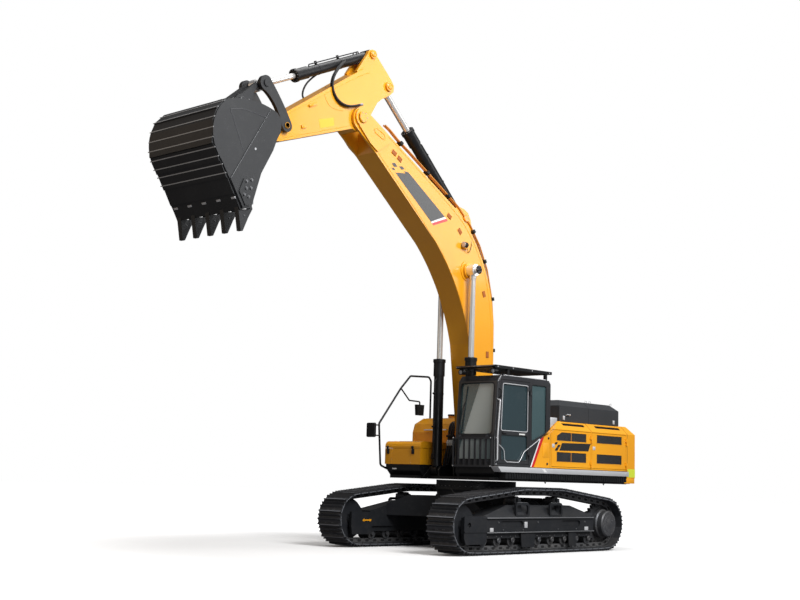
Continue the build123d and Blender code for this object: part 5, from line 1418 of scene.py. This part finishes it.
# -------------------------------------------------------------------------------------------- cab
@dataclass
class Cab(Assembly):
    """Window seals, trims, handles, lamps, wiper and guard fittings of the cab."""

    outer: float = 1.49
    front: float = 1.33
    trim_y: float = 1.492
    windshield_foot: float = 2.16
    lean: float = -0.0657
    lamp_z: float = 3.329

    def side_frame(self, points: Points, radius: float, width: float, depth: float, steps: int = 5) -> Piece:
        """Frame round a side window, on the cab's outer face.

        Args:
            points: the frame's outer corners as (x, z).
            radius: rounding of its corners.
            width: from the outer edge to the opening.
            depth: how far it stands out.
            steps: pieces in each rounding.

        Returns:
            The frame.
        """
        return ring(on_side(eased(points, radius, steps), self.outer), width, (0, depth, 0))

    def door_trim(self) -> None:
        """Bright line round the door's windows, seals, the lock and a blank plate."""
        y = self.trim_y
        upper = self.side_frame([(0.335, 2.235), (1.16, 2.235), (1.12, 3.12), (0.335, 3.12)], 0.05, 0.014, 0.004)
        self.put(upper, "door_trim_high", "silver_paint", body="cab_door")
        lower = [(1.214, 1.975), (1.108, 1.923), (1.055, 1.872), (1.033, 1.703), (0.962, 1.667), (0.608, 1.667),
                 (0.531, 1.74), (0.434, 1.872), (0.3, 1.942)]
        self.put(tube(bend(on_side(lower, y), 0.035), 0.007), "door_trim_low", "silver_paint", body="cab_door")
        rear = [(0.278, 1.953), (0.1, 2.045), (-0.045, 2.128)]
        self.put(tube(bend(on_side(rear, y), 0.03), 0.007), "corner_trim", "silver_paint")
        seal = self.side_frame([(0.335, 1.69), (1.16, 1.69), (1.16, 2.18), (0.335, 2.18)], 0.05, 0.016, 0.003)
        self.put(seal, "door_seal_low", "rubber", body="cab_door")
        quarter = [(-0.262, 2.248), (-0.12, 2.192), (0.227, 2.052), (0.227, 3.162), (-0.262, 3.162)]
        self.put(self.side_frame(quarter, 0.055, 0.018, 0.003), "quarter_seal", "rubber")
        gap = side_slab(rectangle((0.281, 1.64), (0.289, 3.18)), self.outer + 0.0002, 0.001)
        self.put(gap, "door_gap", "dark_gap")
        lock = side_slab(eased(rectangle((0.985, 2.182), (1.135, 2.236)), 0.02), self.outer, 0.006)
        self.put(lock, "door_lock", "rubber", 0.002, body="cab_door")
        plate = side_slab(rectangle((0.42, 2.165), (0.6, 2.205)), self.outer, 0.002)
        self.put(plate, "door_plate", "white_fitting", body="cab_door")

    def handles(self) -> None:
        """Tall bright grab handle and the short black one on the front left post."""
        tall = pipe([(1.268, 1.5, 2.8), (1.262, 1.545, 2.79), (1.322, 1.545, 2.156), (1.322, 1.545, 1.7),
                     (1.31, 1.5, 1.68)], 0.04, 0.014)
        self.put(tall, "grab_handle", "silver_paint")
        short = pipe([(1.235, 1.492, 3.0), (1.235, 1.545, 2.985), (1.245, 1.545, 2.85), (1.245, 1.492, 2.835)],
                     0.03, 0.013)
        foot = block((1.22, 1.27), (1.486, 1.512), (2.78, 2.83), 0.006)
        self.put([short, foot], "short_handle", "black_paint")
        spots = [(1.268, 2.815), (1.3, 1.672), (1.29, 1.62), (1.29, 2.1)]
        self.put_bolts(side_bolts(Side.LEFT, spots, self.outer, 0.012), "post_bolts", "silver_paint")

    def windshield(self) -> None:
        """Seals of the front windows and the wiper."""

        def spot(y: float, z: float, proud: float = 0.0) -> Vector:
            """Place on the leaning windshield's outer face."""
            return at(self.front + (z - self.windshield_foot) * self.lean + proud, y, z)

        upper = eased(rectangle((0.6, 2.15), (1.425, 3.13)), 0.095, 6)
        self.put(ring([spot(y, z) for y, z in upper], 0.022, (0.006, 0, 0)), "windshield_seal", "rubber")
        blade = tube([spot(0.7, 2.23, -0.02), spot(0.705, 2.6, -0.018), spot(0.765, 3.06, -0.016)], 0.007)
        arm = tube([spot(0.64, 2.2, 0.005), spot(0.655, 2.45, 0.004), spot(0.72, 2.75, -0.008)], 0.009)
        hub = block((1.318, 1.345), (0.615, 0.665), (2.165, 2.225), 0.006)
        self.put([blade, arm, hub], "wiper", "rubber")
        lower = eased(rectangle((0.6, 1.69), (1.425, 2.12)), 0.05, 5)
        self.put(ring(on_front(lower, self.front), 0.018, (0.004, 0, 0)), "low_window_seal", "rubber")

    def lamps(self) -> None:
        """Lenses and rims of the work lamps under the roof guard."""
        rim = [(0, 0.049), (0.006, 0.052), (0.014, 0.052), (0.016, 0.044), (0.004, 0.042), (0.002, 0.0)]
        lens = [(0.0, 0.042), (0.006, 0.04), (0.011, 0.026), (0.013, 0.0)]
        rims = [turned(at(1.3, y, self.lamp_z), AHEAD, rim, 28) for y in (0.625, 1.4)]
        lenses = [turned(at(1.304, y, self.lamp_z), AHEAD, lens, 28) for y in (0.625, 1.4)]
        self.put(rims, "roof_lamp_rims", "black_paint")
        self.put(lenses, "roof_lamp_lenses", "lamp_lens")

    def guard(self) -> None:
        """Bolts of the front guard, and the roof guard's rods, visor, bolts and gutter."""
        places = [(at(1.4, y, z), AHEAD, 0.012) for y in (0.555, 1.44) for z in (1.578, 2.092)]
        places += side_bolts(Side.LEFT, [(x, 3.412) for x in (-0.36, 0.2, 0.8, 1.26)], 1.4805, 0.012)
        self.put_bolts(places, "guard_bolts", "silver_paint")
        rods = [block((-0.36, 1.28), (y - 0.006, y + 0.006), (3.424, 3.432)) for y in (0.7, 0.86, 1.02, 1.18, 1.34)]
        self.put(rods, "roof_guard_rods", "black_paint", 0.002)
        visor = slab([at(1.345, 0.56, 3.438), at(1.345, 1.465, 3.438), at(1.42, 1.44, 3.405), at(1.42, 0.59, 3.405)],
                     (0, 0, -0.006))
        self.put(visor, "roof_visor", "black_paint", 0.002)
        places = [(at(x, y, 3.2605), UP, 0.014) for x in (-0.2, 0.1, 1.05) for y in (0.62, 1.4)]
        self.put_bolts(places, "roof_bolts", "black_paint")
        gutter = pipe([(1.195, 1.455, 3.15), (1.15, 1.462, 3.235), (1.04, 1.462, 3.268), (-0.277, 1.462, 3.273),
                       (-0.385, 1.455, 3.2)], 0.05, 0.009)
        self.put(gutter, "roof_gutter", "silver_paint")

    def inside(self) -> None:
        """Levers, pedals and a display behind the glass."""
        grip = [(0, 0.0), (0, 0.02), (0.05, 0.024), (0.11, 0.027), (0.14, 0.022), (0.15, 0.0)]
        boot = [(0, 0.062), (0.02, 0.055), (0.035, 0.048), (0.05, 0.044), (0.07, 0.034), (0.07, 0.0)]
        grips = [turned(at(0.86, y, 2.385), Vector((0.1, 0, 1)), grip, 20) for y in (0.68, 1.345)]
        boots = [turned(at(0.86, y, 2.232), UP, boot, 20) for y in (0.68, 1.345)]
        self.put(grips, "lever_grips", "console_plastic")
        self.put(boots, "lever_boots", "rubber")
        pedals = [pipe([(1.02, y, 1.7), (1.07, y, 1.9), (1.02, y, 2.12)], 0.05, 0.012) for y in (0.93, 1.1)]
        pads = [block((1.0, 1.12), (y - 0.05, y + 0.05), (1.76, 1.775), 0.006) for y in (0.93, 1.1)]
        self.put(pedals + pads, "travel_pedals", "black_paint")
        screen = block((1.02, 1.05), (1.28, 1.42), (2.32, 2.47), 0.008)
        stalk = hose([(1.04, 1.38, 2.24), (1.04, 1.36, 2.3), (1.035, 1.35, 2.35)], 0.012)
        self.put([screen, stalk], "display", "console_plastic")
        face = block((1.017, 1.0195), (1.29, 1.41), (2.335, 2.455), 0.001, 1)
        self.put(face, "display_face", "blank_plate")

    def build(self) -> None:
        """Makes the cab's pieces."""
        self.door_trim()
        self.handles()
        self.windshield()
        self.lamps()
        self.guard()
        self.inside()


@dataclass
class Seat(Assembly):
    """Padded operator's seat: cushion, back, head rest, with a shell behind them."""

    x: float = 0.52
    y: float = 1.0125
    voxel: float = 0.012
    pressure: float = 4.0
    steps: int = 12
    swell: float = 0.016

    def inflate(self, piece: Piece) -> None:
        """Swells a pad with a cloth simulation and holds each point within the swell's limit.

        Args:
            piece: the pad.
        """
        cloth = piece.modifiers.new("swell", "CLOTH")
        cloth.settings.use_pressure = True
        cloth.settings.uniform_pressure_force = self.pressure
        cloth.settings.effector_weights.gravity = 0.0
        cloth.settings.quality = 4
        rest = [vertex.co.copy() for vertex in piece.data.vertices]
        for step in range(1, self.steps + 1):
            bpy.context.scene.frame_set(step)
        bpy.ops.object.modifier_apply(modifier="swell")
        for vertex, start in zip(piece.data.vertices, rest):
            move = vertex.co - start
            if move.length > self.swell:
                vertex.co = start + move.normalized() * self.swell
        bpy.context.scene.frame_set(1)

    def pad(self, name: str, x: Point, y: Point, z: Point, lean: float = 0.0) -> Piece:
        """Crowned cushion, swollen by a cloth simulation.

        Args:
            name: its name.
            x: its limits along X, from the seat's place.
            y: its limits along Y, from the seat's place.
            z: its limits along Z.
            lean: how far its top leans back.

        Returns:
            The padded piece.
        """
        piece = block([self.x + limit for limit in x], [self.y + limit for limit in y], z, 0.035, 3)
        pick(piece)
        piece.data.remesh_voxel_size = self.voxel
        bpy.ops.object.voxel_remesh()
        self.inflate(piece)
        for vertex in piece.data.vertices:
            vertex.co.x -= lean * (vertex.co.z - z[0]) / (z[1] - z[0])
        smooth = piece.modifiers.new("smooth", "SMOOTH")
        smooth.iterations = 3
        bpy.ops.object.modifier_apply(modifier="smooth")
        return self.put(piece, name, "seat_cloth")

    def build(self) -> None:
        """Makes the seat and lets it stand for the plain solid."""
        x, y = self.x, self.y
        pads = [self.pad("seat_cushion", (-0.23, 0.28), (-0.225, 0.225), (1.985, 2.075)),
                self.pad("seat_back", (-0.215, -0.145), (-0.215, 0.215), (2.12, 2.73), 0.09),
                self.pad("head_rest", (-0.315, -0.265), (-0.12, 0.12), (2.785, 2.94), 0.02)]
        base = block((x - 0.17, x + 0.19), (y - 0.16, y + 0.16), (1.665, 1.93), 0.02)
        shell = side_slab([(x - 0.24, 1.955), (x + 0.26, 1.955), (x + 0.26, 1.97), (x - 0.225, 1.97),
                           (x - 0.225, 2.1), (x - 0.315, 2.74), (x - 0.328, 2.74), (x - 0.245, 2.08)],
                          y - 0.2, 0.4)
        posts = [hose([(x - 0.295, y + offset, 2.7), (x - 0.298, y + offset, 2.8)], 0.007) for offset in (-0.06, 0.06)]
        stitches = [hose([(x - 0.21, y + offset, 2.086), (x + 0.05, y + offset, 2.092), (x + 0.26, y + offset, 2.084)],
                         0.003) for offset in (-0.12, 0.12)]
        support = self.put([base, ease(shell, 0.004)] + posts, "seat_frame", "console_plastic")
        seams = self.put(stitches, "seat_seams", "rubber")
        for pad in pads:
            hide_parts("operator_seat")
        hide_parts("operator_seat")
        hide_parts("operator_seat")


# ------------------------------------------------------------------------------------ boom and arm
@dataclass
class Boom(Assembly):
    """Pipes, pads, blank band, bosses and lamp of the boom."""

    body: str = "boom"
    half: float = 0.25
    lamp_place: Point = (0.318, 5.87)

    def pipes(self) -> None:
        """Two amber pipes along the back of each side, with their clamps, and pads on the left face."""
        route = [(3.15, 7.76), (3.01, 7.7), (2.794, 7.565), (2.414, 7.375), (1.923, 7.11), (1.42, 6.84),
                 (1.0, 6.615), (0.601, 6.3), (0.289, 5.93), (0.04, 5.484), (-0.12, 4.931), (-0.185, 4.4), (-0.19, 3.6),
                 (-0.18, 2.9), (-0.15, 2.56)]
        for side in Side:
            pair = [pipe([(x - 0.6 * drop, side.value * offset, z + drop * 0.8) for x, z in route], 0.1, 0.016)
                    for offset, drop in ((0.19, 0.03), (0.14, 0.04))]
            self.put(pair, f"pipes_{side.tag}", "amber_pipe")
        clamps, pads = [], []
        for x, z, angle in ((2.702, 7.535, 27), (1.923, 7.125, 27), (1.29, 6.79, 28), (0.5, 6.21, 45),
                            (0.13, 5.66, 60), (-0.14, 4.931, 78), (-0.195, 3.9, 88), (-0.185, 3.0, 92)):
            for y in (0.115, -0.245):
                clamps.append(moved_block(tilted(x, y, z, angle), (-0.035, 0.035), (0.0, 0.13), (-0.045, 0.026), 0.008))
        self.put(clamps, "pipe_clamps", "black_paint")
        for x, z, angle in ((2.934, 7.293, 28), (2.779, 7.208, 28), (1.307, 6.374, 30), (0.98, 6.13, 45),
                            (0.19, 4.988, 68), (0.045, 3.792, 88), (0.02, 3.05, 90)):
            pads.append(moved_block(tilted(x, self.half, z, angle), (-0.062, 0.062), (0.0, 0.014), (-0.042, 0.042),
                                    0.005, 1))
        self.put(pads, "side_pads", "clamp_rubber")

    def band(self) -> None:
        """Blank dark band with its squares and the white and red end block, on both sides."""
        dark = [(2.885, 6.93), (2.49, 6.985), (1.44, 6.34), (1.845, 6.175)]
        white = [(1.44, 6.34), (1.845, 6.175), (1.815, 6.15), (1.4, 6.312)]
        red = [(1.4, 6.312), (1.815, 6.15), (1.77, 6.115), (1.345, 6.275)]
        squares = [[(2.53, 7.01), (2.65, 7.0), (2.6, 6.965), (2.5, 6.987)],
                   [(2.7, 7.085), (2.79, 7.065), (2.72, 7.015), (2.63, 7.045)],
                   [(2.9, 7.11), (2.99, 7.085), (2.93, 7.03), (2.83, 7.05)],
                   [(2.93, 7.01), (3.0, 7.0), (2.95, 6.965), (2.88, 6.975)]]
        for side in Side:
            for outlines, name, finish in (([dark], "boom_band", "blank_plate"),
                                           ([white], "band_end_white", "white_paint"),
                                           ([red], "band_end_red", "red_paint"),
                                           (squares, "boom_squares", "blank_plate")):
                plates = [side_slab(outline, side.value * self.half, side.value * 0.002) for outline in outlines]
                self.put(plates, f"{name}_{side.tag}", finish)

    def bosses(self) -> None:
        """Pin covers with bolts at the boom's pins, weld seams along the edges and beads round the fork's slots."""
        caps = [PinCap(3.83, 7.76, 0.105, 0.303), PinCap(0.1, 2.1, 0.15, 0.326), PinCap(0.72, 6.44, 0.07, 0.196)]
        self.put_caps(caps, ("boom_pin_covers", "boom_pin_bolts"), ("yellow_paint", "worn_steel"))
        belly = [(0.3, 2.45), (0.565, 3.93), (0.73, 4.45), (0.905, 4.81), (1.25, 5.33), (1.68, 5.85), (3.38, 7.22)]
        back = [(-0.11, 2.4), (-0.105, 4.1), (0.03, 5.05), (0.27, 5.6), (0.64, 6.12), (1.18, 6.55), (3.1, 7.565)]
        seams = [seam for side in Side for seam in welds((belly, back), side.value * (self.half + 0.001))]
        self.put(seams, "boom_welds", "yellow_paint")
        loop = [(3.52, 7.6), (3.47, 7.64), (3.25, 7.56), (3.225, 7.5), (3.285, 7.47), (3.5, 7.55), (3.52, 7.6)]
        slots = [tube(bend(on_side(loop, side.value * 0.287), 0.03), 0.007) for side in Side]
        self.put(slots, "fork_slots", "yellow_paint")

    def lamp(self) -> None:
        """Lens of the boom's work lamp, its housing and its cable."""
        lens = [(0, 0.05), (0.006, 0.054), (0.012, 0.05), (0.014, 0.042), (0.016, 0.0)]
        self.put(turned(at(0.928, *self.lamp_place), AHEAD, lens, 28), "boom_lamp_lens", "lamp_lens")
        housing = [(0, 0.03), (0.0, 0.0535), (0.086, 0.0535), (0.086, 0.056), (0.094, 0.056), (0.094, 0.049)]
        self.put(turned(at(0.84, *self.lamp_place), AHEAD, housing, 28), "boom_lamp_body", "rubber")
        cable = hose([(0.84, 0.318, 5.86), (0.78, 0.305, 5.8), (0.74, 0.27, 5.72), (0.66, 0.262, 5.78),
                      (0.6, 0.258, 5.95), (0.62, 0.2, 6.22)], 0.006)
        self.put(cable, "boom_lamp_cable", "rubber")

    def build(self) -> None:
        """Makes the boom's pieces."""
        self.pipes()
        self.band()
        self.bosses()
        self.lamp()


@dataclass
class Arm(Assembly):
    """Doubler rims, sign, brackets and hose loops of the arm."""

    body: str = "arm"
    half: float = 0.19

    def hoses(self) -> None:
        """Hose loops from the boom's head to the bucket cylinder."""
        run = [(3.95, 7.955), (4.186, 7.88), (4.411, 7.926), (4.552, 8.116), (4.52, 8.36), (4.313, 8.64), (4.19, 8.735)]
        for number, y in enumerate((0.232, 0.272)):
            route = [(3.86, y - 0.01, 7.99)] + [(x, y - 0.02 * index, z) for index, (x, z) in enumerate(run)]
            loop = self.dress(hose(route, 0.019), f"arm_hose_{number}", "rubber")
            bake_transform(loop)
        far = [(4.64, -0.07, 8.44), (4.8, -0.13, 8.3), (4.9, -0.18, 8.1), (4.884, -0.205, 7.93), (4.7, -0.2, 7.86)]
        loop = self.dress(hose(far, 0.017), "arm_hose_far", "rubber")
        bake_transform(loop)
        profile = [(0, 0.0), (0, 0.026), (0.05, 0.026), (0.05, 0.022), (0.085, 0.021), (0.085, 0)]
        fittings = [turned(at(3.83, y, 8.002), Vector((1, 0, -0.4)), profile, 16) for y in (0.222, 0.262)]
        self.put(fittings, "arm_hose_fittings", "worn_steel")

    def sides(self) -> None:
        """Blank yellow sign, edge welds, brackets, pin covers and the link pin's ends."""
        sign = side_slab([(4.837, 7.5), (4.476, 7.62), (4.45, 7.47), (4.79, 7.35)], self.half, 0.002)
        self.put(sign, "arm_sign", "sign_yellow")
        routes = ([(5.62, 7.4), (5.503, 7.463), (3.72, 8.65), (3.6, 8.665)],
                  [(5.665, 6.986), (5.0, 7.215), (3.99, 7.59)],
                  [(4.712, 7.986), (4.69, 7.9), (4.6, 7.81), (4.45, 7.77), (4.242, 7.795)])
        seams = [seam for side in Side for seam in welds(routes, side.value * (self.half + 0.001))]
        self.put(seams, "arm_welds", "yellow_paint")
        brackets = [ease(side_slab(outline, self.half, depth), 0.004) for outline, depth in (
            ([(5.1, 7.7), (4.915, 7.8), (4.9, 7.745), (5.075, 7.66)], 0.03),
            ([(5.247, 7.3), (5.142, 7.33), (5.135, 7.275), (5.235, 7.24)], 0.025))]
        self.put(brackets, "arm_brackets", "yellow_paint")
        caps = [PinCap(x, z, radius, face, height=0.018, chamfer=0.01, steps=30, count=4, phase=0.5, inset=0.02,
                       size=0.009) for x, z, radius, face in ((3.05, 8.55, 0.062, 0.205),
                                                              (3.5, 9.05, 0.055, 0.2))]
        self.put_caps(caps, ("arm_pin_covers", "arm_pin_bolts"), ("yellow_paint", "worn_steel"))
        drum = turned(at(5.65, -0.292, 7.19), LEFTWARD, [(0, 0.0), (0, 0.05), (0.584, 0.05), (0.584, 0.0)], 30)
        self.put(drum, "link_pin_ends", "bucket_paint", 0.004)

    def build(self) -> None:
        """Makes the arm's pieces."""
        self.hoses()
        self.sides()


@dataclass(frozen=True)
class Barrel:
    """Sizes of one cylinder: foot pin and rod eye as (x, z), middle line, length to the open end and radius."""

    body: str
    name: str
    foot: Point
    eye: Point
    y: float
    length: float
    radius: float
    pipe_side: float = 1.0


@dataclass
class Cylinders(Assembly):
    """Gland bolts, ports, pipes and straps of the four cylinders."""

    bolt_count: int = 12
    pipe_offset: float = 0.022
    strap_shares: Sequence[float] = (0.38, 0.68)

    def dress_barrel(self, barrel: Barrel) -> None:
        """Dresses one barrel: gland bolts, two pipes, straps and the end ring.

        Args:
            barrel: its sizes.
        """
        start, end = at(barrel.foot[0], barrel.y, barrel.foot[1]), at(barrel.eye[0], barrel.y, barrel.eye[1])
        run = (end - start).normalized()
        out = run.cross(LEFTWARD).normalized() * barrel.pipe_side
        radius, length, name, body = barrel.radius, barrel.length, barrel.name, barrel.body
        face = start + run * length
        places = [(face + out * across + LEFTWARD * along, run, 0.009)
                  for across, along in circle((0, 0), radius + 0.006, self.bolt_count)]
        self.put_bolts(places, f"{name}_gland_bolts", "worn_steel", body)
        pipes = []
        for offset, reach in ((-self.pipe_offset, 0.3), (self.pipe_offset, length - 0.42)):
            skin = start + out * (radius - 0.01) + LEFTWARD * offset
            base = start + out * (radius + 0.03) + LEFTWARD * offset
            route = [skin + run * 0.22, base + run * 0.22, base + run * reach, skin + run * (reach + 0.03)]
            pipes.append(tube(bend(route, 0.03), 0.011))
        self.put(pipes, f"{name}_pipe", "black_paint", body=body)
        straps = []
        hoop = [(0, radius - 0.002), (0, radius + 0.004), (0.035, radius + 0.004), (0.035, radius - 0.002)]
        for share in self.strap_shares:
            straps.append(turned(start + run * (length * share), run, hoop))
            clip = start + run * (length * share + 0.017) + out * (radius + 0.018)
            turn = run.to_track_quat("X", "Y").to_matrix().to_4x4()
            straps.append(moved_block(Matrix.Translation(clip) @ turn, (-0.017, 0.017), (-0.045, 0.045),
                                      (-0.022, 0.022), 0.006))
        self.put(straps, f"{name}_straps", "black_paint", body=body)
        wiper = turned(face, run, [(0, radius - 0.012), (0.006, radius - 0.014), (0.01, radius - 0.03), (0.01, 0.062)])
        self.put(wiper, f"{name}_end_ring", "black_paint", body=body)

    def build(self) -> None:
        """Dresses the two boom cylinders, the arm cylinder and the bucket cylinder."""
        eye = (0.725, 5.38)
        for side in Side:
            self.dress_barrel(Barrel("boom_barrels", f"boom_cylinder_{side.tag}", (0.745, 1.49), eye,
                                     side.value * 0.4, 2.17, 0.098, -1.0))
        self.dress_barrel(Barrel("arm_barrel", "arm_cylinder", (0.72, 6.44), (3.05, 8.55), 0.0, 2.16, 0.106))
        self.dress_barrel(Barrel("bucket_barrel", "bucket_cylinder", (3.5, 9.05), (6.15, 7.81), 0.0, 1.98, 0.094))
        cap = PinCap(*eye, 0.085, 0.545, height=0.018, chamfer=0.01, steps=32, count=5, inset=0.03, size=0.01)
        self.put_caps([cap], ("boom_eye_caps", "boom_eye_bolts"), ("black_paint", "worn_steel"), "boom_rods")


@dataclass
class Bucket(Assembly):
    """Wear edges, cutter bolts, tooth pins, weld seams and link caps of the bucket."""

    body: str = "bucket"
    half: float = 0.82
    centre: Point = (6.95, 0.03, 6.45)
    strip_count: int = 12
    strip_first: float = 88.0
    strip_step: float = 12.5
    teeth: Sequence[float] = (-0.725, -0.3625, 0.0, 0.3625, 0.725)

    def back(self, start: Vector, direction: Vector) -> tuple[Vector, Vector] | None:
        """Place and outward direction where a ray meets the CAD bucket.

        Args:
            start: where the ray starts.
            direction: where it runs.

        Returns:
            The spot and the surface's outward direction, or None where it misses.
        """
        node = frame["nodes"]["bucket"]
        inward = node.matrix_world.inverted()
        hit, spot, normal, _ = node.ray_cast(inward @ start, inward.to_3x3() @ direction)
        if not hit:
            return None
        outward = (node.matrix_world.to_3x3() @ normal).normalized()
        if outward.dot(direction) > 0:
            outward.negate()
        return node.matrix_world @ spot, outward

    def wear_edges(self) -> None:
        """Pale rubbed edges of the wear strips across the bucket's back, and the bright tabs above the teeth."""
        edges, tabs = [], []
        for number in range(self.strip_count):
            angle = math.radians(self.strip_first - self.strip_step * number)
            out = Vector((math.cos(angle), 0, math.sin(angle)))
            found = self.back(at(*self.centre) + out * 2.0, -out)
            if found is not None:
                spot, normal = found
                turn = side_turn(normal.cross(LEFTWARD).xz, normal.xz)
                edges.append(Matrix.Translation((spot.x, 0, spot.z)) @ turn)
        strip = chip(rectangle((-0.008, -0.826), (0.008, 0.826)), -0.002, 0.007)
        self.put(repeat(strip, edges), "wear_edges", "edge_light")
        for y in self.teeth:
            found = self.back(at(8.6, y + 0.02, 5.6), -AHEAD)
            if found is not None:
                spot, normal = found
                tabs.append(facing(spot - normal * 0.002, normal))
        tab = ease(chip(rectangle((-0.05, -0.018), (0.05, 0.018)), 0.0, 0.012), 0.003)
        self.put(repeat(tab, tabs), "lip_tabs", "silver_paint")

    def build(self) -> None:
        """Makes the bucket's pieces."""
        self.wear_edges()
        cutter = [(6.972, 5.88), (6.872, 5.92), (6.975, 5.77), (6.88, 5.79), (7.01, 5.66), (6.92, 5.64)]
        places = [place for side in Side for place in side_bolts(side, cutter, self.half + 0.03, 0.03)]
        self.put_bolts(places, "cutter_bolts", "link_steel")
        seams, holes = [], []
        ears = ([(7.352, 6.975), (7.158, 7.029), (6.902, 7.04), (6.6, 7.01)],
                [(7.352, 6.982), (7.2, 6.68), (7.045, 6.371)])
        cheek = [(6.52, 7.15), (6.9, 6.515), (7.28, 5.88)]
        for side in Side:
            seams += welds(ears, side.value * (self.half + 0.001), 0.005)
            seams += welds([cheek], side.value * (self.half + 0.012), 0.005)
            holes.append(turned(at(6.804, side.value * (self.half + 0.0125), 6.446), side.out,
                                [(0.0, 0.0), (0.0, 0.02), (0.0015, 0.02), (0.0015, 0.0)], 20))
        self.put(seams, "bucket_welds", "edge_dark")
        self.put(holes, "side_holes", "pale_grey")
        wedges = [block((6.742, 6.775), (y - 0.045, y + 0.045), (5.56, 5.64), 0.008) for y in self.teeth]
        pins = [(at(6.925, y + out * 0.048, 5.35), LEFTWARD * out, 0.018) for y in self.teeth for out in (1, -1)]
        self.put_bolts(pins, "tooth_pins", "link_steel")
        self.put(wedges, "adapter_tabs", "worn_steel")
        caps = [PinCap(x, z, radius, 0.287, steps=32, count=4, phase=0.5)
                for x, z, radius in ((6.22, 7.0, 0.095), (6.66, 7.36, 0.085))]
        self.put_caps(caps, ("bucket_pin_caps", "bucket_pin_bolts"), ("bucket_paint", "link_steel"))


def main() -> None:
    """Builds the studio and every piece."""
    deselect()
    dress_nodes()
    Studio().build()
    for assembly in (Undercarriage(), Turntable(), UpperBody(), Toolbox(), Doors(), Cab(), Seat(), Boom(), Arm(),
                     Cylinders(), Bucket()):
        assembly.build()
        for piece in assembly.made:
            log.info("%s: %s", type(assembly).__name__, piece.name)


if __name__ == "__main__":
    logging.basicConfig(level=logging.INFO, format="%(message)s")
    main()
